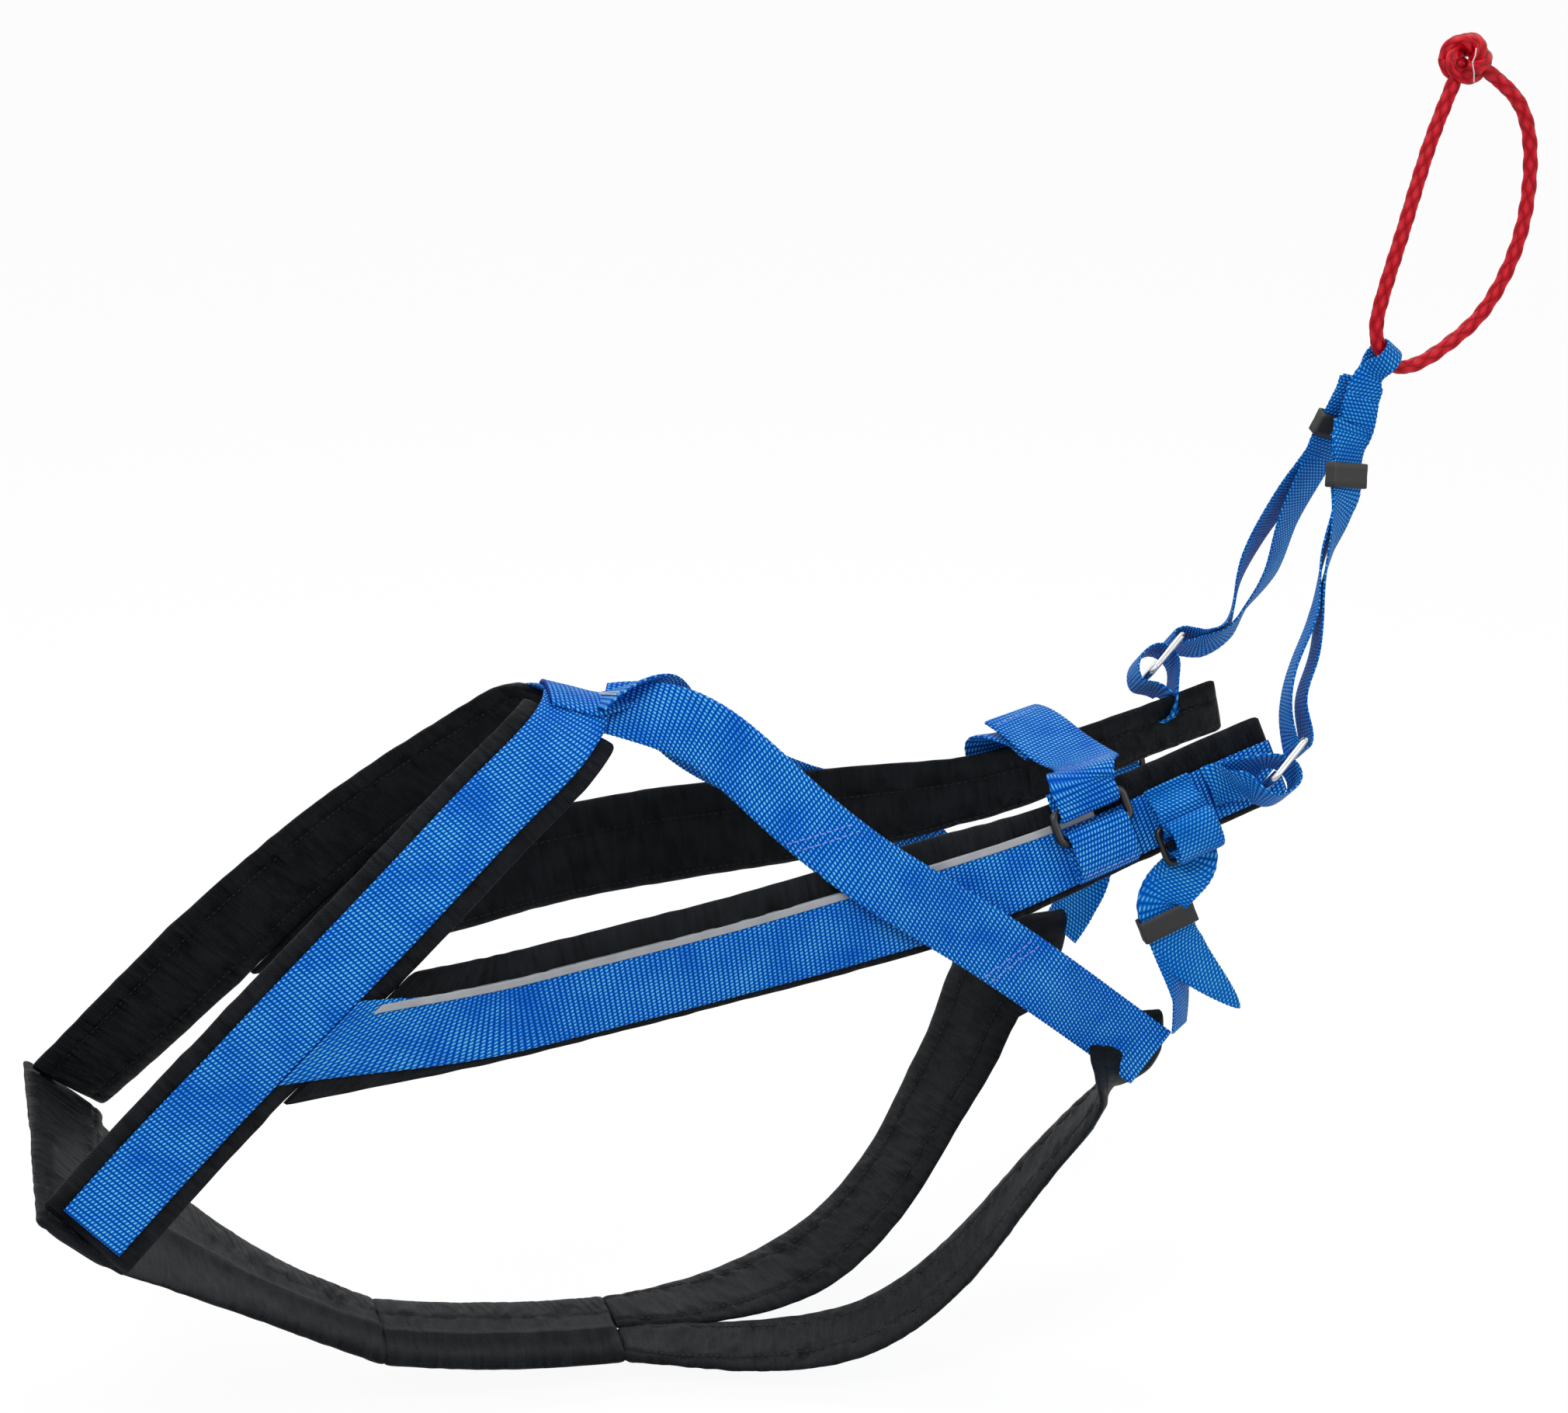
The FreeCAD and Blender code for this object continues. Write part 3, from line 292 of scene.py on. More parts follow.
def lengths(points):
    """Distance along a row of points, from 0 at the first."""
    spans = np.linalg.norm(np.diff(points, axis=0), axis=1)
    return np.concatenate([[0], np.cumsum(spans)])


def between(places, s, values):
    """Vectors at places along a row, whose own distances are s."""
    return np.stack([np.interp(places, s, values[:, k]) for k in range(3)], -1)


def cubic(x, start, leaving, stop, arriving):
    """Smooth way from start to stop that takes up both slopes."""
    return ((2 * x**3 - 3 * x**2 + 1) * start + (x**3 - 2 * x**2 + x) * leaving
            + (3 * x**2 - 2 * x**3) * stop + (x**3 - x**2) * arriving)


def noise(x, y, seed):
    """Smooth value noise from -1 to 1 at the points x, y."""
    x, y = np.broadcast_arrays(np.asarray(x, float), np.asarray(y, float))
    column, row = np.floor(x).astype(int), np.floor(y).astype(int)
    fx, fy = x - column, y - row
    fx, fy = fx * fx * (3 - 2 * fx), fy * fy * (3 - 2 * fy)

    def corner(dx, dy):
        key = (column + dx) * 374761393 + (row + dy) * 668265263 + seed * 974711
        key = (key ^ (key >> 13)) * 1274126177
        return ((key ^ (key >> 16)) & 0xFFFF) / 32767.5 - 1

    low = corner(0, 0) * (1 - fx) + corner(1, 0) * fx
    high = corner(0, 1) * (1 - fx) + corner(1, 1) * fx
    return low * (1 - fy) + high * fy


def make_object(name, points, faces, material, uv=None):
    """Object from points in millimetres and a list of arrays of equal-sized faces."""
    mesh = bpy.data.meshes.new(name)
    mesh.vertices.add(len(points))
    mesh.vertices.foreach_set("co", (np.asarray(points) * MM).astype(np.float32).ravel())
    sizes = np.concatenate([np.full(len(group), group.shape[1]) for group in faces])
    corners = np.concatenate([group.ravel() for group in faces])
    mesh.loops.add(len(corners))
    mesh.loops.foreach_set("vertex_index", corners.astype(np.int32))
    mesh.polygons.add(len(sizes))
    starts = np.concatenate([[0], np.cumsum(sizes)[:-1]])
    mesh.polygons.foreach_set("loop_start", starts.astype(np.int32))
    mesh.update(calc_edges=True)
    mesh.shade_smooth()
    if uv is not None:
        layer = mesh.uv_layers.new(name="UVMap")
        layer.data.foreach_set("uv", np.asarray(uv)[corners].astype(np.float32).ravel())
    mesh.materials.append(material)
    return in_scene(name, mesh)


def grid_faces(rows, columns, closed=False):
    """Quads of a grid whose columns close into a ring, and its rows too when closed."""
    index = np.arange(rows * columns).reshape(rows, columns)
    here, there = (index, np.roll(index, -1, 0)) if closed else (index[:-1], index[1:])
    quads = np.stack([here, np.roll(here, -1, 1), np.roll(there, -1, 1), there], -1)
    return quads.reshape(-1, 4)


def signed_volume(points, quads):
    a, b, c, d = (points[quads[:, k]] for k in range(4))
    return (np.einsum("ij,ij->i", a, np.cross(b, c))
            + np.einsum("ij,ij->i", a, np.cross(c, d))).sum()


def tube(name, rings, uv, material):
    """Closed skin through rings of points (rows, columns, 3), with flat ends."""
    rows, columns = rings.shape[:2]
    points = rings.reshape(-1, 3)
    quads = grid_faces(rows, columns)
    ends = [np.arange(columns)[::-1], np.arange(columns) + (rows - 1) * columns]
    if signed_volume(points - points.mean(0), quads) < 0:
        quads = quads[:, ::-1]
        ends = [end[::-1] for end in ends]
    return make_object(name, points, [quads, np.array(ends)], material, uv.reshape(-1, 2))


def dress(look, body, slot=None, *nodes):
    """Seat a piece on its body and hide the CAD nodes that it stands for; slot is not used."""
    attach(look, body)
    if nodes:
        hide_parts(*nodes)
    return look


def joined(name, shells, material):
    """One object from several (points, quads) shells."""
    points, quads, count = [], [], 0
    for shell_points, shell_quads in shells:
        points.append(shell_points)
        quads.append(shell_quads + count)
        count += len(shell_points)
    return make_object(name, np.concatenate(points), [np.concatenate(quads)], material)


# ---- Strap lines ----
class Line:
    """Smooth centre line through (centre, across) stations, with a turning across-direction."""

    def __init__(self, stations, outward):
        self.points = np.array([centre for centre, across in stations], float)
        self.turns = unit([across for centre, across in stations])
        s = lengths(self.points)
        self.length = s[-1]
        self.places = s / self.length
        self.outward = outward
        self.slopes = self.spline_slopes()

    def end_slope(self, indices):
        """Slope at the first of the points, of the polynomial through all of them."""
        x = self.places[indices]
        powers = np.vander(x - x[0], len(x), increasing=True)
        return np.linalg.solve(powers, self.points[indices])[1]

    def spline_slopes(self):
        count = len(self.points)
        reach = min(4, count)
        steps = np.diff(self.places)
        matrix = np.eye(count)
        right = np.zeros((count, 3))
        right[0] = self.end_slope(np.arange(reach))
        right[-1] = self.end_slope(np.arange(count - 1, count - 1 - reach, -1))
        chords = np.diff(self.points, axis=0) / steps[:, None]
        for i in range(1, count - 1):
            matrix[i, i - 1:i + 2] = steps[i], 2 * (steps[i - 1] + steps[i]), steps[i - 1]
            right[i] = 3 * (steps[i] * chords[i - 1] + steps[i - 1] * chords[i])
        return np.linalg.solve(matrix, right)

    def at(self, places):
        """Centre, across, out and along directions at shares of the length."""
        places = np.atleast_1d(np.asarray(places, float))
        index = np.searchsorted(self.places, places, side="left") - 1
        index = np.clip(index, 0, len(self.points) - 2)
        step = (self.places[index + 1] - self.places[index])[:, None]
        x = (places - self.places[index])[:, None] / step
        p, q = self.points[index], self.points[index + 1]
        m, n = self.slopes[index] * step, self.slopes[index + 1] * step
        centre = cubic(x, p, m, q, n)
        along = unit((6 * x**2 - 6 * x) * (p - q) + (3 * x**2 - 4 * x + 1) * m
                     + (3 * x**2 - 2 * x) * n)
        across = self.turns[index] * (1 - x) + self.turns[index + 1] * x
        across = unit(across - along * (along * across).sum(-1, keepdims=True))
        out = unit(np.cross(along, across)) * self.outward
        return centre, across, out, along

    def frame(self, place):
        """The four vectors at one place."""
        return tuple(v[0] for v in self.at(place))

    def at_aft(self, aft):
        """Frame where the centre line reaches a distance aft of the withers."""
        places = np.linspace(0, 1, 2001)
        return self.frame(np.interp(aft, self.at(places)[0][:, 0], places))


def spot(frame, across, height):
    return frame[0] + across * frame[1] + height * frame[2]


def side_of(stations, sign, outward):
    """Line on one side of the dog from stations written for the far side."""
    turn = vec(1, sign, 1)
    return Line([(np.asarray(centre) * turn, np.asarray(across) * turn)
                 for centre, across in stations], outward)


class Sheet:
    """Rows of frames along a line; place(u, v) gives points u across and v out of it."""

    def __init__(self, line, start=0.0, stop=1.0, pitch=1.5):
        rows = max(3, int(line.length * (stop - start) / pitch))
        self.centre, self.across, self.out = line.at(np.linspace(start, stop, rows))[:3]
        self.s = lengths(self.centre)

    def place(self, u, v):
        return (self.centre[:, None] + u[..., None] * self.across[:, None]
                + v[..., None] * self.out[:, None])


class ForkedSheet(Sheet):
    """The side strap: its first rows spread out along the neck strap's lower edge."""

    BLEND_ROWS = 40

    def __init__(self, neck, side, pitch=1.5, seat=None):
        super().__init__(side, pitch=pitch)
        self.neck = neck
        self.seat = PAD_WIDTH / 2 + GAP if seat is None else seat
        self.half = side_half(self.centre[:, 0])
        behind = np.clip((self.centre[:, 0] - 250) / 120, 0, 1) * (self.centre[0, 1] > 0)
        self.draw_in = 11 * behind * behind * (3 - 2 * behind)
        self.side_along = side.at(0)[3]
        lead = self.place_side(np.zeros((len(self.s), 1)), np.zeros((len(self.s), 1)))[0, 0]
        start = self.neck_point(np.array([0.5]), np.array([0.0]))[0]
        reach = np.linalg.norm(lead - start)
        shares = np.linspace(0, 1, self.BLEND_ROWS, endpoint=False)
        self.shares = shares
        self.s = np.concatenate([shares * reach, self.s + reach])
        self.half = np.concatenate([np.full(self.BLEND_ROWS, self.half[0]), self.half])

    def neck_point(self, share, height):
        index = FORK_TOP + (FORK_LOW - FORK_TOP) * share
        centre, across, out = self.neck.at(np.clip(index / NECK_STEPS, 0, 1).ravel())[:3]
        points = centre + across * self.seat + out * height.ravel()[:, None]
        return points.reshape(*share.shape, 3)

    def place_side(self, u, v):
        half = self.half[-len(u):, None]
        return Sheet.place(self, u - self.draw_in[:, None] * (u + half) / (2 * half), v)

    def place(self, u, v):
        side = self.place_side(u[self.BLEND_ROWS:], v[self.BLEND_ROWS:])
        first_u, first_v = u[:self.BLEND_ROWS], v[:self.BLEND_ROWS]
        centre, across, out = (w[0] for w in (self.centre, self.across, self.out))
        stop = centre + first_u[..., None] * across + first_v[..., None] * out
        start = self.neck_point(first_u / (2 * self.half[0]) + 0.5, first_v)
        x = self.shares[:, None, None]
        span = stop - start
        lead_out = self.side_along * np.linalg.norm(span, axis=-1, keepdims=True)
        return np.concatenate([cubic(x, start, span, stop, lead_out), side])


class Stretch:
    """Part of a sheet, between two of its rows."""

    def __init__(self, sheet, start, stop):
        self.sheet = sheet
        self.rows = slice(start, stop)
        self.outside = ((start, len(sheet.s) - stop), (0, 0))
        self.s = sheet.s[self.rows]

    def place(self, u, v):
        u, v = (np.pad(values, self.outside, mode="edge") for values in (u, v))
        return self.sheet.place(u, v)[self.rows]


# ---- Sizes and lines of the straps, as in the CAD source ----
GAP = 0.3
WEB_WIDTH = 40
WEB_HALF = WEB_WIDTH / 2
WEB_THICK = 2.2
THIN = 1.6
PAD_WIDTH = 60
PAD_THICK = 7
RIB_PAD_WIDTH = 68
SIDE_PAD_WIDTH = 64
SIDE_PAD_TAPER = 6
SIDE_TAPER = (170, 300)
STERNUM_WIDTH = 76
STERNUM_THICK = 13
NECK_STEPS = 20
FORK_TOP = 9
FORK_LOW = 14
SLIPS = {-1: 0, 1: 20}
ASIDE = (0, 1, 0)
WEB_LOW = PAD_THICK / 2 + GAP
WEB_HIGH = WEB_LOW + WEB_THICK
WEB_RIGHT = 1 - 5 / SIDE_PAD_WIDTH
WEB_LEFT = WEB_RIGHT - WEB_WIDTH / SIDE_PAD_WIDTH


def side_half(aft):
    """Half width of the side pad, narrower behind the loin strap."""
    share = np.clip((aft - SIDE_TAPER[0]) / (SIDE_TAPER[1] - SIDE_TAPER[0]), 0, 1)
    return SIDE_PAD_WIDTH / 2 - SIDE_PAD_TAPER * share * share * (3 - 2 * share)


def neck_line(sign):
    stations = [((-14, 2.5, 6), (0.95, 0, -0.3)), ((-26, 28, -2), (0.88, 0.2, -0.42)),
                ((-64, 49, -29), (0.61, 0.4, -0.68)), ((-115, 70, -68), (0.5, 0.4, -0.76)),
                ((-227, 89, -166), (0.63, 0.12, -0.76)), ((-313, 101, -248), (0.63, 0.32, -0.7))]
    return side_of(stations, sign, -sign)


def side_line(sign):
    stations = [((-58, 96, -134), (0.1, 0, -0.99)), ((60, 92, -117), (0.06, 0.04, -1)),
                ((178, 73, -104), (0, 0.24, -0.97)), ((238, 63, -95), (0.1, 0.38, -0.92)),
                ((304, 52, -79), (0.05, 0.36, -0.93)), ((402, 43, -49), (0.1, 0.3, -0.95))]
    return side_of(stations, sign, sign)


def back_line(sign, lift):
    """Back strap: the far one is folded over the withers and sewn down with the near one."""
    slip = SLIPS[sign]
    seat = 79 + PAD_THICK / 2 + GAP + WEB_THICK / 2
    if sign > 0:
        stations = [((-4, -5, lift - 5), (0.4, -0.75, 0.35)), ((12, 1, lift + 1.5), (0.6, -0.6, 0.35)),
                    ((28, 10, lift - 1), (0.75, -0.4, 0.4)), ((41, 24, lift - 15), (0.8, -0.2, 0.5)),
                    ((62, 38, lift - 43), (0.7, -0.25, 0.65)), ((94, 53, -60), (0.62, -0.25, 0.74)),
                    ((140, 85, -91), (0.6, -0.3, 0.74))]
    else:
        stations = [((2, 4, lift - 6.5), (0.7, -0.6, 0.38)), ((22, 12, lift - 8), (0.76, -0.35, 0.5)),
                    ((46, 23, lift - 14), (0.72, -0.15, 0.62)),
                    ((94, 53, -42), (0.62, -0.25, 0.74)), ((140, 85, -80), (0.6, -0.3, 0.74))]
    stations += [((196, 91, -120), (0.6, -0.16, 0.78)),
                 ((250 - slip / 2, 94, -162), (0.62, -0.06, 0.78)),
                 ((284 - slip, seat + 0.8, -192), (0.64, 0, 0.77)),
                 ((316 - slip, seat, -219), (0.64, 0, 0.77))]
    return side_of(stations, sign, -sign)


def rib_line(sign):
    slip = SLIPS[sign]
    stations = [((305 - slip, 79, -190), (-0.93, 0, 0.37)),
                ((302 - slip, 79, -210), (-0.93, 0.05, 0.37)),
                ((286 - slip, 82, -241), (-0.5, 0.87, -0.1)),
                ((261 - slip / 2, 78, -273), (-0.42, 0.91, -0.08)),
                ((238 - slip / 4, 74, -303), (-0.3, 0.95, 0)), ((206, 67, -346), (-0.1, 0.98, 0.15)),
                ((146, 50, -397), (-0.05, 0.98, 0.1)), ((74, 31 + GAP, -409), (0, 1, 0)),
                ((2 + GAP, STERNUM_WIDTH / 4, -404), (0, 1, 0))]
    return side_of(stations, sign, sign)


NECKS = {name: neck_line(sign) for name, sign in SIDES}
SIDE_LINES = {name: side_line(sign) for name, sign in SIDES}
RIBS = {name: rib_line(sign) for name, sign in SIDES}


# ---- Padded straps and webbing ----
PAD_SAMPLES = 45
WEB_SAMPLES = 15


def ring_profile(samples, fullness):
    """Shares across (-1 to 1) and of the half thickness, round a flat strap's section."""
    across = np.sin(np.linspace(-math.pi / 2, math.pi / 2, samples))
    height = (1 - np.abs(across) ** fullness) ** 0.5
    across = np.concatenate([across, across[-2:0:-1]])
    height = np.concatenate([height, -height[-2:0:-1]])
    return across, height


def end_rounding(s, reach, depth):
    """Factor below 1 near both ends of a strap, so that its padded ends are round."""
    away = np.minimum(s, s[-1] - s) / reach
    away = np.clip(away, 0, 1)
    return 1 - depth * (1 - np.sqrt(1 - (1 - away) ** 2))


def column(value, sheet):
    """A value or a row of values as one column, a row to each frame of a sheet."""
    return np.broadcast_to(value, sheet.s.shape)[:, None]


END_REACH = 5
END_DRAW = 2.5
SEAM_DEPTH = 0.8
SEAM_SPREAD = 1.6
PRESSED = 1.0
GATHER_DEPTH = 0.75
WAVE_DEPTH = 0.45
CREASE_DEPTH = 1.1
CREASE_PITCH = 6.5


def pad(name, sheet, half, thick, seams, seed, press=None, gather=1.0, round_ends=0.75, ridge=None):
    """Padded nylon strap: puffed between its seams, with gathers running out of each seam.

    seams are distances across the strap in mm; press is the band under the webbing, pushed in.
    ridge is a lengthwise fold, as its distance across and its height.
    """
    across, height = ring_profile(PAD_SAMPLES, 5)
    half = np.broadcast_to(half, sheet.s.shape)
    ends = end_rounding(sheet.s, END_REACH, round_ends)[:, None]
    edge = 1 + 0.012 * noise(sheet.s / 9, 0.5, seed)[:, None]
    u = across[None] * (half[:, None] - END_DRAW * (1 - ends)) * edge
    s = np.broadcast_to(sheet.s[:, None], u.shape)
    nearest = np.full(u.shape, 1e3)
    groove = np.zeros(u.shape)
    for seam in seams:
        distance = np.abs(u - column(seam, sheet))
        nearest = np.minimum(nearest, distance)
        groove = np.maximum(groove, np.exp(-(distance / SEAM_SPREAD) ** 2))
    face = np.sign(height)[None]
    skew = 0.35 * u * face
    gathers = noise((s + skew) / 5.5, u / 17 + face * 7, seed + 3)
    gathers = gathers + 0.6 * noise((s - skew) / 9.5, u / 23 + face * 5, seed + 5)
    gathers = gathers * (0.25 + 0.75 * np.exp(-((nearest - 2) / 9) ** 2))
    broad = noise(s / 34, u / 30 + face * 3, seed + 7)
    phase = s / CREASE_PITCH + 0.9 * noise(s / 13, u / 60, seed + 9) + 0.05 * u
    creases = (1 - np.abs(np.sin(math.pi * phase))) ** 3
    creases = creases * (0.6 + 0.4 * noise(s / 27, u / 40, seed + 11))
    creases = creases * np.clip((u / half[:, None] - 0.15) / 0.3, 0, 1) * max(gather - 1, 0)
    depth = (thick / 2 - SEAM_DEPTH * groove + GATHER_DEPTH * gather * gathers
             + WAVE_DEPTH * broad - CREASE_DEPTH * creases)
    if ridge is not None:
        depth = depth + ridge[1] * np.exp(-((u - ridge[0]) / 5) ** 2)
    if press is not None:
        left, right = (column(x, sheet) for x in press)
        under = np.clip(np.minimum(u - left, right - u) / 3 + 0.5, 0, 1) * (face > 0)
        depth = depth * (1 - under) + (thick / 2 - PRESSED) * under
    rings = sheet.place(u, height[None] * depth * ends)
    look = tube(name + "_look", rings, np.stack([u, s], -1), NYLON)
    dress(look, "harness", "black_nylon", name)


RIB_PITCH = 2.9


def webbing(name, sheet, left, right, low, high, material=None, slot="blue_webbing", body="harness",
            beads=0.22, ripple=0.25, seed=1):
    """Woven strap with beaded edges, between two distances across and two heights."""
    across, height = ring_profile(WEB_SAMPLES, 14)
    left, right, low, high = (column(x, sheet) for x in (left, right, low, high))
    s = np.broadcast_to(sheet.s[:, None], (len(sheet.s), len(across)))
    u = (left + right) / 2 + (right - left) / 2 * across
    u = u + beads * np.sin(math.tau * s / RIB_PITCH) * np.abs(across) ** 8 * np.sign(across)
    waves = ripple * noise(s / 21, u / 30, seed)
    v = (low + high) / 2 + (high - low) / 2 * height + waves
    look = tube(name + "_look", sheet.place(u, v), np.stack([u, s], -1), material or WEBBING)
    dress(look, body, slot, name)


STITCH_SHAPE = ((-1.0, 0.25), (-0.6, 0.85), (0.0, 1.0), (0.6, 0.85), (1.0, 0.25))


def stitches(name, runs, material, slot=None, body="harness", length=2.6, pitch=4.2, radius=0.38):
    """Rows of thread stitches along runs, each a pair of point and normal arrays in mm."""
    shells = []
    for points, normals in runs:
        s = lengths(points)
        for place in np.arange(pitch / 2, s[-1] - pitch / 2, pitch):
            centre = between(place, s, points)
            normal = unit(between(place, s, normals))
            along = unit(between(place + 1, s, points) - centre)
            side = np.cross(along, normal)
            angles = np.arange(6) * math.tau / 6
            circle = np.cos(angles)[:, None] * side + np.sin(angles)[:, None] * normal
            rings = [centre + along * (length / 2 * x) + circle * (radius * y) - normal
                     * (0.25 * x * x) for x, y in STITCH_SHAPE]
            shells.append((np.concatenate(rings), grid_faces(len(rings), 6)))
    dress(joined(name, shells, material), body, slot)


def picked_run(sheet, u, v, pick):
    """A run for stitches: some of a sheet's points, with the directions out of it there."""
    points = sheet.place(u, v)[pick]
    outer = sheet.place(u, v + 1.0)[pick]
    return points, unit(outer - points) * np.sign(v[0, 0] + 1e-9)


def seam_run(sheet, u, v, start=0.0, stop=1.0):
    """A run along a sheet at a distance across and a height."""
    rows = slice(int(start * len(sheet.s)), max(int(stop * len(sheet.s)), 2))
    return picked_run(sheet, column(u, sheet), column(v, sheet), (rows, 0))


def cross_run(sheet, place, half, v):
    """A run straight across a sheet at a share of its rows."""
    u = np.tile(np.linspace(-half, half, 12), (len(sheet.s), 1))
    return picked_run(sheet, u, np.full(u.shape, float(v)), int(place * (len(sheet.s) - 1)))


def slanted_run(sheet, ends, half, v):
    """A run from one edge of a sheet to the other, between two shares of its rows."""
    steps = 14
    rows = np.round(np.linspace(ends[0], ends[1], steps) * (len(sheet.s) - 1)).astype(int)
    u = np.tile(np.linspace(-half, half, steps), (len(sheet.s), 1))
    return picked_run(sheet, u, np.full(u.shape, float(v)), (rows, np.arange(steps)))


def ribbon(name, stations, half, thick, outward=1, body="harness", material=None, ripple=0.0):
    """Webbing along a folded line."""
    sheet = Sheet(Line(stations, outward), pitch=0.8)
    if callable(half):
        half = half(sheet.s)
    webbing(name, sheet, -half, half, -thick / 2, thick / 2, material or THIN_WEBBING, body=body,
            ripple=ripple)
    return sheet


WEB_SINK = 0.8
LINING = -PAD_THICK / 2 + 0.1


def sewn_webbing(name, sheet, left, right, seed):
    """Webbing sewn flat on a pad, sunk a little into it."""
    webbing(name, sheet, left, right, WEB_LOW - WEB_SINK, WEB_HIGH - WEB_SINK, seed=seed)


def lining_stitches(name, sheet, seams, start, stop):
    """Black seams on the side of a pad that faces the dog."""
    stitches(name, [seam_run(sheet, seam, LINING, start, stop) for seam in seams], BLACK_THREAD,
             "black_nylon")


# neck straps
SEAM = WEB_HALF - 1.8
PAD_START = 0.9
WEB_STOP = 19.7
for name, sign in SIDES:
    seed = 21 + 10 * sign
    sheet = Sheet(NECKS[name], PAD_START / NECK_STEPS, 1)
    pad(f"neck_pad_{name}", sheet, PAD_WIDTH / 2, PAD_THICK, (-SEAM, SEAM), seed,
        press=(-WEB_HALF, WEB_HALF), gather=1.6)
    sewn_webbing(f"neck_webbing_{name}", Sheet(NECKS[name], 0, WEB_STOP / NECK_STEPS),
                 -WEB_HALF, WEB_HALF, seed)
    lining_stitches(f"neck_lining_stitches_{name}", sheet, (-SEAM, SEAM), 0.02, 0.98)

# side straps, with the piping over the webbing's upper edge
PIPING_WIDTH = 4
PIPING_STOP = 15 / 20
SIDE_SEAM = 1.5
for name, sign in SIDES:
    seed = 61 + 10 * sign
    sheet = ForkedSheet(NECKS[name], SIDE_LINES[name])
    web_left, web_right = (sheet.half * (2 * edge - 1) for edge in (WEB_LEFT, WEB_RIGHT))
    seams = (web_left + SIDE_SEAM, web_right - SIDE_SEAM)
    pad(f"side_pad_{name}", sheet, sheet.half, PAD_THICK, seams, seed, press=(web_left, web_right),
        gather=1.7)
    over_border = ForkedSheet(NECKS[name], SIDE_LINES[name], seat=WEB_HALF)
    sewn_webbing(f"side_webbing_{name}", over_border, web_left, web_right, seed)
    lining_stitches(f"side_lining_stitches_{name}", sheet, seams, 0.05, 0.98)
    piping_rows = int((len(sheet.s) - sheet.BLEND_ROWS) * PIPING_STOP) + sheet.BLEND_ROWS
    top = web_left[:piping_rows] - GAP
    webbing(f"side_piping_{name}", Stretch(sheet, 0, piping_rows), top - PIPING_WIDTH, top + 0.6,
            WEB_LOW - 1.2, WEB_LOW + 2.0, PIPING, "reflective_piping", beads=0.05, ripple=0.1)

# withers patch
patch_height = WEB_HIGH + GAP + WEB_THICK / 2
first = NECKS["far"].frame(0)
patch = []
for across in (-WEB_HALF, -WEB_WIDTH / 4, 0, WEB_WIDTH / 4):
    place = spot(first, across, patch_height)
    patch.append(((place[0], 0, place[2]), ASIDE))
patch_level = patch[-1][0][2] - 3
patch += [((25, 0, patch_level), ASIDE), ((50, 0, patch_level), ASIDE)]


class DrapedSheet(Sheet):
    """A sheet that sinks towards both of its edges."""

    SAG = 0.016

    def place(self, u, v):
        return super().place(u, v) - np.multiply.outer(self.SAG * u * u, vec(0, 0, 1))


patch_sheet = DrapedSheet(Line(patch, 1), pitch=1.2)
patch_half = np.interp(patch_sheet.s / patch_sheet.s[-1], (0, 0.36, 0.68, 1),
                       (WEB_HALF, WEB_HALF, WEB_WIDTH / 5, WEB_WIDTH / 8))
webbing("withers_patch", patch_sheet, -patch_half, patch_half, -WEB_THICK / 2, WEB_THICK / 2)

# breast pad and sternum strap
breast_ends = []
for name, sign in SIDES:
    centre, across = NECKS[name].frame(1)[:2]
    before = NECKS[name].frame(1 - 1 / NECK_STEPS)[0]
    seat = centre + unit(centre - before) * (PAD_THICK / 2 + GAP)
    breast_ends.append((seat + vec(0, sign * PAD_THICK / 2, 0), across))
reach = (breast_ends[0][0] + breast_ends[1][0]) / 2
breast = Line([breast_ends[0], (reach + vec(-1, 0, 1), (0.67, 0, -0.74)), breast_ends[1]], 1)
pad("breast_pad", Sheet(breast, pitch=1.4), PAD_WIDTH / 2, PAD_THICK, (-22, 22), 91, gather=2.0)

breast_edge = spot(breast.frame(0.5), PAD_WIDTH / 2 + GAP, 0)
fore_half = spot(breast.frame(1), PAD_WIDTH / 2, 0)[1] - PAD_THICK
belly_joint = vec(-143, 0, -385)
fore = Line([(breast_edge, ASIDE), ((-212, 0, -343), ASIDE), (belly_joint, ASIDE)], -1)
fore_sheet = Sheet(fore, pitch=0.9)
left_over = 1 - fore_sheet.s / fore_sheet.s[-1]
fore_width = STERNUM_WIDTH / 2 + (fore_half - STERNUM_WIDTH / 2) * left_over ** 2.2
fore_thick = (STERNUM_THICK - (STERNUM_THICK - PAD_THICK) * left_over)[:, None]
pad("sternum_front", fore_sheet, fore_width, fore_thick, (fore_width * 0.3,), 95, gather=2.2,
    round_ends=0.3, ridge=(-9, 2.2))
rear_start = belly_joint - vec(0.5, 0, 0)
brisket = vec(2, 0, -404)
rear = Line([(rear_start, ASIDE), ((rear_start + brisket) / 2 + vec(0, 0, -4), ASIDE),
             (brisket, ASIDE)], -1)
pad("sternum_rear", Sheet(rear, pitch=0.9), STERNUM_WIDTH / 2, STERNUM_THICK, (11,), 97, gather=1.8,
    round_ends=0.3, ridge=(-12, 2.6))

# back straps and rib straps
back_lift = patch_level + WEB_THICK + GAP + 0.6

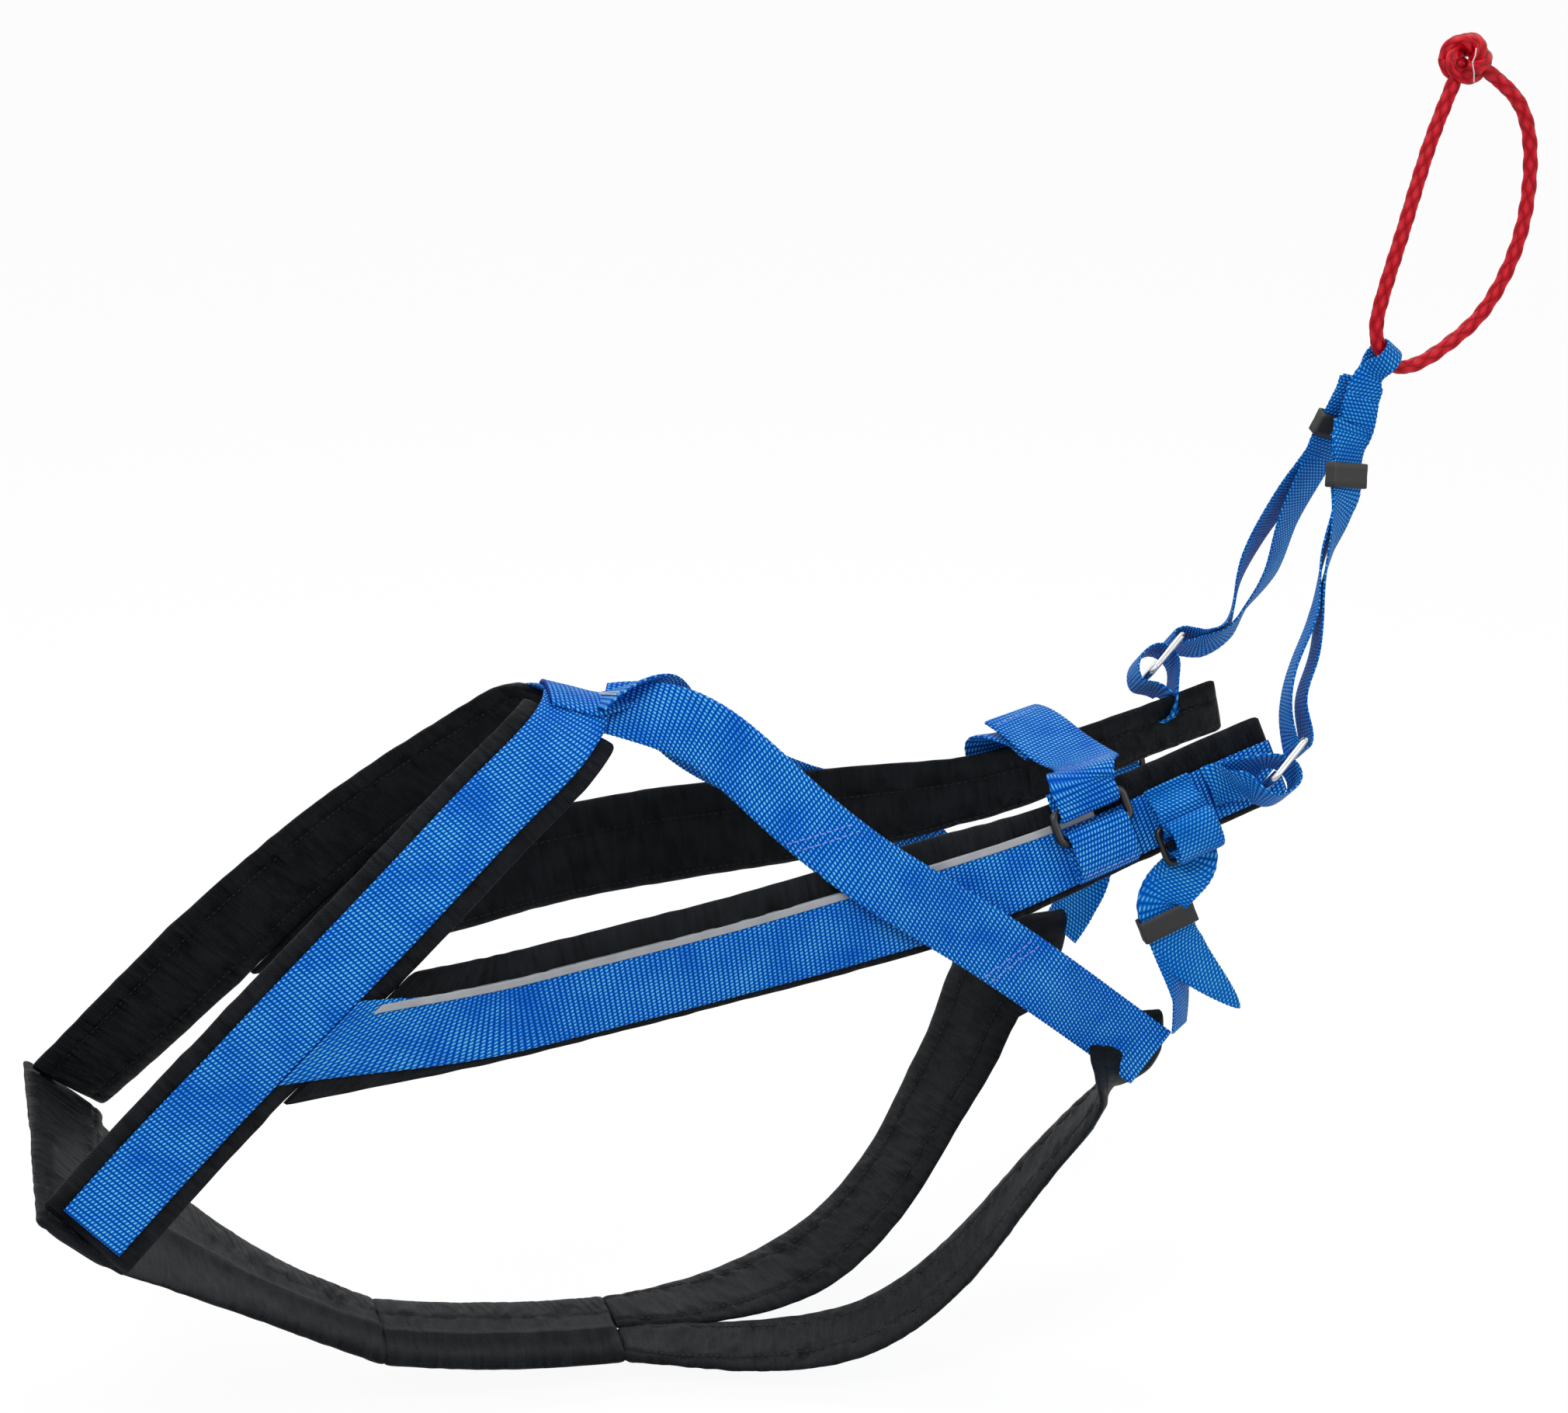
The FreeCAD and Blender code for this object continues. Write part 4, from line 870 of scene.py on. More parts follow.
RIB_HALF = RIB_PAD_WIDTH / 2
RIB_END = STERNUM_WIDTH / 4 - GAP
RIB_STEPS = 24
RIB_TAPER_STEPS = 8
RIB_WEB = (4 / RIB_STEPS, 0.84)
NEAR_NARROW = 15
NEAR_NARROW_REACH = 75
BACK_ROWS = ((116, 8), (120, 8), (222, 5), (226, 5))
BAR_ROWS = (0.022, 0.027)
for name, sign in SIDES:
    sheet = Sheet(back_line(sign, back_lift), pitch=0.9)
    webbing(f"back_webbing_{name}", sheet, -WEB_HALF, WEB_HALF, -WEB_THICK / 2,
            WEB_THICK / 2, ripple=0.4, seed=101 + sign)
    shares = np.linspace(0, 1, len(sheet.s))
    rows = []
    for aft, lean in BACK_ROWS:
        ends = np.interp((aft - lean, aft + lean), sheet.centre[:, 0], shares)
        rows.append(slanted_run(sheet, ends, SEAM, WEB_THICK / 2 + 0.3))
    stitches(f"back_stitches_{name}", rows, THREAD, "blue_webbing", length=3, pitch=4)
    if sign > 0:
        height = np.sign(sheet.out[0, 2]) * (WEB_THICK / 2 + 0.5)
        stitches("withers_bar", [cross_run(sheet, place, 19, height) for place in BAR_ROWS],
                 WHITE_THREAD, length=3.2, pitch=2.6, radius=0.5)

    seed = 121 + 10 * sign
    sheet = Sheet(RIBS[name])
    share = np.clip((sheet.s / sheet.s[-1] * RIB_STEPS - RIB_STEPS + RIB_TAPER_STEPS)
                    / RIB_TAPER_STEPS, 0, 1)
    half = RIB_HALF + (RIB_END - RIB_HALF) * share ** 1.5
    if sign < 0:
        half = half - NEAR_NARROW * np.clip(1 - sheet.s / NEAR_NARROW_REACH, 0, 1) ** 1.3
    seam = np.minimum(SEAM, half - 6)
    pad(f"rib_pad_{name}", sheet, half, PAD_THICK, (-seam, seam), seed, gather=1.5)
    web_sheet = Sheet(RIBS[name], *RIB_WEB)
    web_half = np.interp(web_sheet.s + sheet.s[-1] * RIB_WEB[0], sheet.s, half) - 2
    web_half = np.minimum(WEB_HALF, web_half)
    sewn_webbing(f"rib_webbing_{name}", web_sheet, -web_half, web_half, seed)
    lining_stitches(f"rib_lining_stitches_{name}", sheet, (-seam, seam), 0.03, 0.97)


# ---- Moulded, rubber and steel fittings ----
def rounded_loop(half_x, half_y, corner, samples=8):
    """Points and outward directions round a rounded rectangle in its own plane."""
    points, normals = [], []
    corners = ((1, 1, 0), (-1, 1, 90), (-1, -1, 180), (1, -1, 270))
    for x_sign, y_sign, start in corners:
        for step in range(samples + 1):
            angle = math.radians(start + 90 * step / samples)
            outward = vec(math.cos(angle), math.sin(angle))
            middle = vec(x_sign * (half_x - corner), y_sign * (half_y - corner))
            points.append(middle + corner * outward)
            normals.append(outward)
    return np.array(points), np.array(normals)


def bar_section(half_wide, half_deep, samples=14, fullness=3.2):
    """Section of a moulded bar: a rounded rectangle as (width, depth) points."""
    angles = np.arange(samples) * math.tau / samples
    c, s = np.cos(angles), np.sin(angles)
    power = 2 / fullness
    return np.stack([half_wide * np.sign(c) * np.abs(c) ** power,
                     half_deep * np.sign(s) * np.abs(s) ** power], -1)


def row_shell(rows, closed=False):
    """Points and outward-facing quads of a skin through rows of points."""
    rows = np.array(rows)
    points = rows.reshape(-1, 3)
    quads = grid_faces(*rows.shape[:2], closed)
    if signed_volume(points - points.mean(0), quads) < 0:
        quads = quads[:, ::-1]
    return points, quads


def frame_shell(centre, x_axis, y_axis, half_x, half_y, corner, section):
    """Closed rounded-rectangle ring: the section carried round the loop."""
    z_axis = np.cross(x_axis, y_axis)
    points, normals = rounded_loop(half_x, half_y, corner)
    rows = []
    for point, normal in zip(points, normals):
        middle = centre + point[0] * x_axis + point[1] * y_axis
        outward = normal[0] * x_axis + normal[1] * y_axis
        rows.append(middle + section[:, :1] * outward + section[:, 1:] * z_axis)
    return row_shell(rows, closed=True)


def bar_shell(start, stop, side, up, section):
    """Straight moulded bar between two points."""
    rows = []
    for share in np.linspace(0, 1, 9):
        middle = start + (stop - start) * share
        rows.append(middle + section[:, :1] * side + section[:, 1:] * up)
    return row_shell(rows)


def axes_of(x_axis, y_axis):
    x_axis = unit(x_axis)
    y_axis = unit(y_axis - x_axis * (x_axis @ y_axis))
    return x_axis, y_axis


def moulded_ring(name, centre, x_axis, y_axis, width, length, wall, cross_bar):
    """Plastic slide or loop of the outer width and length, with a middle bar if it has one."""
    x_axis, y_axis = axes_of(x_axis, y_axis)
    section = bar_section(wall / 2, wall * 0.52)
    shells = [frame_shell(centre, x_axis, y_axis, (width - wall) / 2, (length - wall) / 2,
                          wall * 0.9, section)]
    if cross_bar:
        reach = x_axis * (width / 2 - wall)
        shells.append(bar_shell(centre - reach, centre + reach, y_axis, np.cross(x_axis, y_axis),
                                section))
    dress(joined(name + "_look", shells, PLASTIC), "harness", "black_plastic", name)


def rubber_keeper(name, body, centre, across, along, width, depth, length, wall):
    """Rubber sleeve with soft edges, a little waisted in the middle."""
    across, along = axes_of(across, along)
    normal = np.cross(across, along)
    rows = []
    profile = [(0.0, -0.92), (0.55, -1.0), (1.0, -0.93), (1.0, -0.5), (0.94, 0.0), (1.0, 0.5),
               (1.0, 0.93), (0.55, 1.0), (0.0, 0.92), (-0.1, 0.4), (-0.1, -0.4)]
    for thickness, reach in profile:
        half_x = width / 2 + wall * thickness
        half_y = depth / 2 + wall * thickness
        loop, normals = rounded_loop(half_x, half_y, max(wall * (0.25 + 0.55 * thickness), 0.2), 5)
        rows.append(centre + along * (reach * length / 2) + loop[:, :1] * across
                    + loop[:, 1:] * normal)
    look = joined(name + "_look", [row_shell(rows + rows[:1])], RUBBER)
    dress(look, body, "black_rubber", name)


def bight(bar, radius, opens):
    """Points (u, v) of webbing folded round a bar; opens is the side both legs leave toward."""
    turn = [(bar[0] + opens * 2.4 * radius, bar[1] - radius),
            (bar[0] + opens * 0.8 * radius, bar[1] - radius)]
    for step in range(7):
        angle = math.radians(-90 + 30 * step)
        turn.append((bar[0] - opens * radius * math.cos(angle),
                     bar[1] + radius * math.sin(angle)))
    turn += [(bar[0] + opens * 0.8 * radius, bar[1] + radius),
             (bar[0] + opens * 2.4 * radius, bar[1] + radius)]
    return turn


def aft_of(seat):
    """A side strap's own direction at a frame, pointing aft."""
    return seat[3] if seat[3][0] > 0 else -seat[3]


def in_plane(seat, profile):
    """Stations in the plane square to a side strap, from (across, height) pairs."""
    return [(spot(seat, u, v), aft_of(seat)) for u, v in profile]


# ---- Loin strap ----
near_loin = SIDE_LINES["near"].at_aft(284)
far_loin = SIDE_LINES["far"].at_aft(268)
LOIN_WALL = 5
LOIN_SLOT = 13
bar_room = LOIN_WALL * 0.5 * math.sqrt(2) + 2 * GAP
turn_radius = bar_room + WEB_THICK / 2
sewn = WEB_HIGH + GAP + WEB_THICK / 2
bar_height = sewn + WEB_THICK / 2 + bar_room
low_bar = -3
high_bar = low_bar - LOIN_SLOT - LOIN_WALL
hem = side_half(near_loin[0][0]) - 3

anchor = [(hem, sewn), ((hem + low_bar) / 2, sewn)]
anchor += bight((low_bar, bar_height), turn_radius, 1)
anchor += [(hem - 2, sewn + WEB_THICK + GAP + 1)]
anchor_sheet = ribbon("loin_anchor", in_plane(near_loin, anchor), WEB_HALF, WEB_THICK,
                      material=WEBBING)
moulded_ring("loin_ring", spot(near_loin, (low_bar + high_bar) / 2, bar_height), aft_of(near_loin),
             near_loin[1], WEB_WIDTH + 2 + 2 * LOIN_WALL, LOIN_SLOT + 2 * LOIN_WALL, LOIN_WALL,
             False)
LOIN_RISE = -49
OVER_BACK = (0.97, -0.15, 0.15)
flap = in_plane(near_loin, bight((high_bar, bar_height), turn_radius, -1))
flap += [((289, -30, LOIN_RISE + 1), (0.97, 0.04, 0.2)), ((284, 2, LOIN_RISE), (0.97, -0.09, 0.17)),
         ((276, 26, LOIN_RISE + 5), OVER_BACK), ((268, 50, LOIN_RISE + 7), OVER_BACK)]
flap_sheet = ribbon("loin_flap", flap, WEB_HALF, WEB_THICK, body="flap", material=WEBBING,
                    ripple=0.3)
TAPE_THICK = 1.2
TAPE_STEPS = (46, 59)
FLAP_STEPS = 60
tape_low = WEB_THICK / 2 + GAP
tape_half = WEB_HALF - 2
flap_line = Line(flap, 1)
webbing("loin_hook_tape", Sheet(flap_line, *(step / FLAP_STEPS for step in TAPE_STEPS)), -tape_half,
        tape_half, tape_low, tape_low + TAPE_THICK, HOOK_TAPE, "hook_tape", "flap", beads=0.1)
under_drop = tape_low + TAPE_THICK + 2 * GAP + WEB_THICK / 2
under = []
for index in (44, 48, 51):
    place = flap_line.frame(index / FLAP_STEPS)
    under.append((spot(place, 0, under_drop), place[1]))
for across in (4 - SIDE_PAD_WIDTH / 2, 16 - SIDE_PAD_WIDTH / 2, 0, hem):
    under.append((spot(far_loin, across, sewn), aft_of(far_loin)))
ribbon("loin_under_strap", under, WEB_HALF, WEB_THICK, material=WEBBING)
fold_row = np.argmin(np.linalg.norm(flap_sheet.centre - vec(290, -37, LOIN_RISE - 2), axis=1))
LOIN_SEAM = 17
flap_runs = [cross_run(flap_sheet, place, LOIN_SEAM, -WEB_THICK / 2 - 0.35)
             for place in (fold_row / len(flap_sheet.s), 0.95)]
stitches("loin_flap_stitches", flap_runs, THREAD, "blue_webbing", "flap", length=3.4, pitch=4.6)
anchor_runs = [cross_run(anchor_sheet, place, LOIN_SEAM, side * (WEB_THICK / 2 + 0.1))
               for place, side in ((0.03, -1), (0.95, 1))]
stitches("loin_anchor_stitches", anchor_runs, THREAD, "blue_webbing")

# ---- Belly adjusters ----
BELLY_WIDTH = 30
SLIDE_WALL = 4
SLIDE_SLOT = 6.5
slide_room = SLIDE_WALL * 0.5 * math.sqrt(2) + GAP
layer = THIN + GAP
sewn_thin = WEB_HIGH + GAP + THIN / 2
top_bar = 12
middle_bar = top_bar + SLIDE_WALL + SLIDE_SLOT
slide_height = sewn_thin + THIN / 2 + slide_room
loop_radius = slide_room + THIN / 2
KEEPER_WALL = 1.8
KEEPER_LENGTH = 15
KEEPER_ROOM = 0.8
keeper_depth = 2 * THIN + GAP + 2 * KEEPER_ROOM


BELLY_TAILS = {"near": [((345, -80, -165), (0.88, 0.1, 0.47)), ((372, -83, -193), (0.72, 0.1, 0.69))],
               "far": [((334, 80, -155), (0.93, 0, 0.37)), ((338, 81, -164), (0.93, 0, 0.37))]}
TAIL_REACH = {"near": 52, "far": 9}


def tapered(width, reach):
    """Half width that runs out to a point over the last stretch."""
    def half(s):
        return 0.4 + (width / 2 - 0.4) * np.clip((s[-1] - s) / reach, 0, 1) ** 0.7
    return half


for name, sign in SIDES:
    seat = SIDE_LINES[name].at_aft(335)
    along = aft_of(seat)
    loop = [(top_bar - 24, sewn_thin), (top_bar - 17, sewn_thin)]
    loop += bight((top_bar, slide_height), loop_radius, -1)
    loop += [(top_bar - 17, sewn_thin + layer), (top_bar - 24, sewn_thin + layer)]
    ribbon(f"belly_loop_{name}", in_plane(seat, loop), BELLY_WIDTH / 2, THIN)
    moulded_ring(f"belly_slide_{name}", spot(seat, middle_bar, slide_height), along, seat[1],
                 BELLY_WIDTH + 2 + 2 * SLIDE_WALL, 3 * SLIDE_WALL + 2 * SLIDE_SLOT, SLIDE_WALL, True)
    face = SLIDE_WALL / 2 + GAP + THIN / 2
    slot = (SLIDE_WALL + SLIDE_SLOT) / 2
    threaded = [(9, -face - layer), (3.5, -face - layer), (-0.5, -face), (-slot + 1.2, -face + 0.6),
                (-slot, -SLIDE_WALL / 4), (-slot, SLIDE_WALL / 2), (-slot - 3, face + 2),
                (-slot - 8, face + 6), (-slot - 6, face + 11), (0, face + 13), (slot + 4, face + 10),
                (slot + 6, face + 5), (slot + 1.5, face + 1.6), (slot, SLIDE_WALL / 2),
                (slot, -SLIDE_WALL / 4), (slot + 1.5, -face + 0.4), (slot + 4, -face)]
    threaded = [(spot(seat, middle_bar + u, slide_height + v), along) for u, v in threaded]
    keeper_at = vec(326, sign * 76, -134)
    keeper_across = vec(0.93, 0, 0.37)
    keeper_along = vec(0.37, 0, -0.93)
    outward = vec(0, sign, 0) * (layer / 2)
    edge_on = vec(0.62, sign * -0.78, 0.1)
    foot = vec(335 - SLIPS[sign], sign * 80, -203)
    inner = [(foot, edge_on), (vec((foot[0] + 337) / 2, sign * 78, -182), edge_on)]
    outer = []
    for reach in (11, 0, -11):
        inner.append((keeper_at - outward + keeper_along * reach, keeper_across))
        outer.append((keeper_at + outward - keeper_along * reach, keeper_across))
    outer += BELLY_TAILS[name]
    ribbon(f"belly_strap_{name}", inner + threaded + outer, tapered(BELLY_WIDTH, TAIL_REACH[name]),
           THIN, sign)
    rubber_keeper(f"belly_keeper_{name}", f"{name}_belly_keeper", keeper_at, keeper_across,
                  keeper_along, BELLY_WIDTH + 2 * KEEPER_ROOM, keeper_depth, KEEPER_LENGTH,
                  KEEPER_WALL)

# ---- Steel rings, tug tabs and yoke ----
WIRE = 4
TUG_WIDTH = 25
TUG_HALF = TUG_WIDTH / 2
RING_PITCH = 38 - WIRE
RING_CORNER = 4.5
BAR_LINE = vec(0, 0.8, -0.6)
RING_RISE = unit(vec(0.738, 0.405, 0.54))
RING_AHEAD = np.cross(RING_RISE, BAR_LINE)
LOW_BARS = {"near": vec(384.2, -77.4, -54.5), "far": vec(356.5, 53.4, -27.8)}
TURN_RADIUS = WIRE / 2 + 1.8 + THIN / 2
TAB_ACROSS = 1
TAB_AFT = {"near": (358, 362), "far": (357, 365)}
TAB_SPREAD = 1.5
TAB_LOOPS = {"near": ((1, 18, 14, 43), (9, 13, 4.2, 12), (16, 6, 0.3), (19, -5, 0.1), (14, -12),
                      (3, -12), (-5.5, -6.5), (-7.5, 0.5), (-6, 7, 3), (-6, 13, 11, 43)),
             "far": ((-1, -22), (10, -15), (21, -6), (20.5, 6), (10.5, 11), (-1.5, 8.5),
                     (-6.5, 1), (-3, -6), (-1, -15))}


def by_ring(low, rise, ahead, aside=0, twist=0):
    """Station beside a ring, as in the CAD source."""
    turn = math.radians(twist)
    return (low + RING_RISE * rise + RING_AHEAD * ahead + BAR_LINE * aside,
            BAR_LINE * math.cos(turn) - RING_AHEAD * math.sin(turn))


for name, low in LOW_BARS.items():
    shell = frame_shell(low + RING_RISE * (RING_PITCH / 2), RING_RISE, BAR_LINE, RING_PITCH / 2,
                        TUG_HALF + 1 + WIRE / 2, RING_CORNER, bar_section(WIRE / 2, WIRE / 2, 20, 2))
    dress(joined(f"tug_ring_{name}_look", [shell], STEEL), f"{name}_ring", "bright_steel",
          f"tug_ring_{name}")
    root, leave = (SIDE_LINES[name].at_aft(aft) for aft in TAB_AFT[name])
    stations = [(spot(root, TAB_ACROSS, sewn_thin), root[1]),
                (spot(leave, TAB_ACROSS, sewn_thin), leave[1])]
    stations += [by_ring(low, *place) for place in TAB_LOOPS[name]]
    stations += [(spot(leave, TAB_ACROSS, sewn_thin + layer + TAB_SPREAD), leave[1]),
                 (spot(root, TAB_ACROSS, sewn_thin + layer), root[1])]
    ribbon(f"tug_tab_{name}", stations, TUG_HALF, THIN)

STACK_ACROSS = (0.954, 0, -0.3)
TUG_KEEPERS = {"near": (vec(454, -12, 113), vec(0.89, 0.41, -0.21), vec(0.22, 0.3, 0.92)),
               "far": (vec(457, 12.5, 137), vec(0.95, 0.1, -0.3), vec(0.3, -0.25, 0.92))}


def strands(centre, across, along):
    """Stations of the two strands through a keeper, lower end first."""
    across, along = axes_of(across, along)
    apart = unit(np.cross(along, across)) * (layer / 2)
    return {side: [(centre + side * apart + along * reach, across) for reach in (-10, 0, 10)]
            for side in (-1, 1)}


def leg(name, down, up, turn):
    """Leg of the yoke: down to its ring's upper bar, round it and up again."""
    bar = LOW_BARS[name] + RING_RISE * RING_PITCH
    round_bar = []
    for step in range(7):
        angle = math.radians(turn[0] + (turn[1] - turn[0]) * step / 6)
        offset = RING_RISE * math.cos(angle) + RING_AHEAD * math.sin(angle)
        round_bar.append((bar + offset * TURN_RADIUS, BAR_LINE))
    ribbon(f"tug_leg_{name}", down + round_bar + up, TUG_HALF, THIN, body="yoke")


near_runs, far_runs = (strands(*place) for place in TUG_KEEPERS.values())
leg("near",
    [((460, -1.5 * layer, 142), STACK_ACROSS)] + near_runs[-1][::-1] +
    [((437, -26, 75), (0.51, 0.81, -0.3)), ((425.5, -40, 38.5), (0.2, 0.93, -0.3)),
     ((409.8, -50, 9.5), (0.2, 0.92, -0.33)), ((403.5, -56.5, -14.5), (0.1, 0.9, -0.42))],
    [((414.5, -53, -14), (0.1, 0.9, -0.42)), ((424.5, -44, 9.5), (0.15, 0.93, -0.33)),
     ((429.5, -39, 38.5), (0.2, 0.93, -0.3)), ((440, -28, 76), (0.51, 0.81, -0.3))] + near_runs[1] +
    [((460, -2.5 * layer, 142), STACK_ACROSS)],
    (130, 300))
leg("far",
    [((466, 2.5 * layer, 168), STACK_ACROSS)] + far_runs[-1][::-1] +
    [((444, 23, 109), (0.87, 0.4, -0.3)), ((430, 36, 80), (0.77, 0.58, -0.26)),
     ((419, 45, 52), (0.63, 0.73, -0.27)), ((414, 53, 22), (0.31, 0.88, -0.36)),
     ((408, 60, -2), (0.15, 0.67, -0.73)), ((397, 63.5, -8.5), (0.14, 0.6, -0.78))],
    [((397, 63.5, -13), (0.14, 0.6, -0.78)), ((410, 60, -5), (0.15, 0.67, -0.73)),
     ((419, 53, 11), (0.31, 0.88, -0.36)), ((432, 44, 37), (0.63, 0.73, -0.27)),
     ((437, 35, 68), (0.73, 0.63, -0.27)), ((447, 22, 107), (0.87, 0.4, -0.3))] + far_runs[1] +
    [((467, 1.5 * layer, 168), STACK_ACROSS)],
    (50, 236))
for name, place in TUG_KEEPERS.items():
    rubber_keeper(f"tug_keeper_{name}", f"{name}_tug_keeper", *place,
                  TUG_WIDTH + 2 * KEEPER_ROOM, keeper_depth, KEEPER_LENGTH, KEEPER_WALL)

ROPE_DIAMETER = 8
eye_centre = vec(479, 0, 181)
eye_axis = vec(0.75, 0, -0.66)
eye_rise = vec(0.66, 0, 0.75)
eye_radius = ROPE_DIAMETER / 2 + 3.6 + THIN / 2
eye_low = vec(458, 0, 128)
eye_middle = vec(466, 0, 152)
eye_foot = eye_centre - eye_rise * 11


def eye_side(side):
    """Stations up one side of the eye, from the stack of strands to the rope."""
    aside = vec(0, side, 0)
    return [(eye_low + aside * (layer / 2), STACK_ACROSS),
            (eye_middle + aside * (layer / 2), STACK_ACROSS),
            (eye_foot + aside * (layer * 0.8), eye_axis)]


eye = eye_side(-1)
for step in range(7):
    angle = math.radians(200 - 220 * step / 6)
    eye.append((eye_centre + eye_rise * (math.sin(angle) * eye_radius)
                + vec(0, math.cos(angle) * eye_radius, 0), eye_axis))
eye += eye_side(1)[::-1]
EYE_NARROWING = 5.5


def eye_half(s):
    drawn_in = np.maximum(0, 1 - np.abs(s / s[-1] - 0.5) / 0.245) ** 0.5
    return TUG_HALF - 1 - EYE_NARROWING * drawn_in


ribbon("tug_eye", eye, eye_half, THIN, body="yoke")

# ---- Rope loop and knot ----
ROPE_POINTS = [(0.514, 0, 0.345), (0.503, 0.002, 0.314), (0.494, 0, 0.285), (0.485, -0.002, 0.254),
               (0.477, -0.001, 0.224), (0.472, 0, 0.2), (0.476, 0, 0.184), (0.487, 0, 0.173),
               (0.503, 0.001, 0.175), (0.522, 0.002, 0.186), (0.54, 0.001, 0.201),
               (0.552, -0.001, 0.222), (0.561, -0.002, 0.247), (0.566, 0, 0.274),
               (0.566, 0.002, 0.302), (0.56, 0.001, 0.322), (0.548, -0.001, 0.337),
               (0.531, 0, 0.349)]


def curve_points(points, steps=24):
    """Points in metres along the smooth curve that the control points steer."""
    data = bpy.data.curves.new("rope_line", "CURVE")
    data.dimensions = "3D"
    spline = data.splines.new("NURBS")
    spline.points.add(len(points) - 1)
    for point, place in zip(spline.points, points):
        point.co = (*place, 1)
    spline.order_u = 3
    spline.use_endpoint_u = True
    spline.resolution_u = steps
    line = in_scene("rope_line", data)
    evaluated = line.evaluated_get(bpy.context.evaluated_depsgraph_get())
    mesh = bpy.data.meshes.new_from_object(evaluated)
    result = np.array([v.co for v in mesh.vertices])
    bpy.data.objects.remove(line)
    bpy.data.meshes.remove(mesh)
    return result


def resampled(points, pitch):
    s = lengths(points)
    places = np.linspace(0, s[-1], int(s[-1] / pitch) + 1)
    return between(places, s, points), places


BRAID_STRANDS = 4
BRAID_CELL = 13


def braided(name, line, radius):
    """Mesh tube along a line in mm, plaited from two crossing sets of strands."""
    points, s = resampled(line, 0.4)
    along = unit(np.gradient(points, axis=0))
    side = unit(np.cross(along[0], vec(0.3, 1, 0.1)))
    sides = []
    for tangent in along:
        side = unit(side - tangent * (side @ tangent))
        sides.append(side)
    sides = np.array(sides)
    ups = np.cross(along, sides)
    angle = np.arange(56) * math.tau / 56
    turns = BRAID_STRANDS * angle[None] / math.tau
    cells = s[:, None] / BRAID_CELL
    rising, falling = turns + cells, turns - cells
    over = (np.floor(rising) + np.floor(falling)) % 2 == 0
    crown = np.sin(math.pi * (rising % 1)), np.sin(math.pi * (falling % 1))
    relief = np.where(over, crown[0] ** 0.6 * (0.5 + 0.5 * crown[1]),
                      crown[1] ** 0.6 * (0.5 + 0.5 * crown[0]))
    reach = radius * (0.88 + 0.24 * relief)
    outward = (np.cos(angle)[None, :, None] * sides[:, None]
               + np.sin(angle)[None, :, None] * ups[:, None])
    rings = points[:, None] + reach[..., None] * outward
    uv = np.stack(np.broadcast_arrays(angle[None] * radius, s[:, None]), -1)
    look = tube(name, rings, uv, ROPE)
    layer_data = look.data.attributes.new("relief", "FLOAT", "POINT")
    layer_data.data.foreach_set("value", relief.astype(np.float32).ravel())
    return look


rope_line = curve_points(ROPE_POINTS)
rope_look = braided("tug_rope_look", rope_line / MM, ROPE_DIAMETER / 2)
dress(rope_look, "rope", "red_rope", "tug_rope")

KNOT_CENTRE = vec(519, 0, 355)
KNOT_WIDTH = 31
knot_turns = np.linspace(0, math.tau, 400)
ROPE_TURNS = 3
KNOT_CROSSINGS = 4
tight = ROPE_DIAMETER / 2 * 0.92
ring_radius = KNOT_WIDTH / 2 - tight - 3.2
weave = 3.0
radial = ring_radius + weave * np.cos(KNOT_CROSSINGS * knot_turns)
height = 6.0 * np.sin(KNOT_CROSSINGS * knot_turns)
knot_line = np.stack([radial * np.cos(ROPE_TURNS * knot_turns),
                      radial * np.sin(ROPE_TURNS * knot_turns), height], -1)
knot_axis = unit(vec(-0.35, -0.8, 0.5))
knot_side = unit(np.cross(knot_axis, vec(0, 0, 1)))
knot_up = np.cross(knot_side, knot_axis)
knot_line = (KNOT_CENTRE + knot_line[:, :1] * knot_side + knot_line[:, 1:2] * knot_up
             + knot_line[:, 2:] * knot_axis)
knot_look = braided("rope_knot_look", knot_line, tight)
dress(knot_look, "rope", "red_rope", "rope_knot")
KNOT_VIEW = unit(vec(-0.24, -0.91, 0.33))
knot_right = unit(np.cross(vec(0, 0, 1), KNOT_VIEW))
knot_rise = np.cross(knot_right, KNOT_VIEW)


def on_knot(right, rise, out):
    """Point by its distances from the knot's middle."""
    return KNOT_CENTRE + knot_right * right + knot_rise * rise + KNOT_VIEW * out


STUB = (-5, 5.5)
TIE = ((3.2, 15.5, 8), (2.4, 11, 12.5), (0.9, 5.5, 15), (2.5, 1.5, 15.4), (3.2, -3, 14.5))
stub_look = braided("rope_stub_look", np.array([on_knot(*STUB, out) for out in (4, 9, 14)]), tight)
stub_cut = bar_shell(on_knot(*STUB, 13.6), on_knot(*STUB, 15.2), knot_right, knot_rise,
                     bar_section(tight * 0.93, tight * 0.93, 24, 2))
stub_end = joined("rope_end_look", [stub_cut], ROPE_END)
tie_places = [on_knot(*place) for place in TIE]
tie = [bar_shell(start, stop, knot_right, KNOT_VIEW, bar_section(0.4, 0.4, 8, 2))
       for start, stop in zip(tie_places[:-1], tie_places[1:])]
tie_look = joined("rope_tie_look", tie, WHITE_THREAD)
dress(stub_look, "rope", "red_rope")
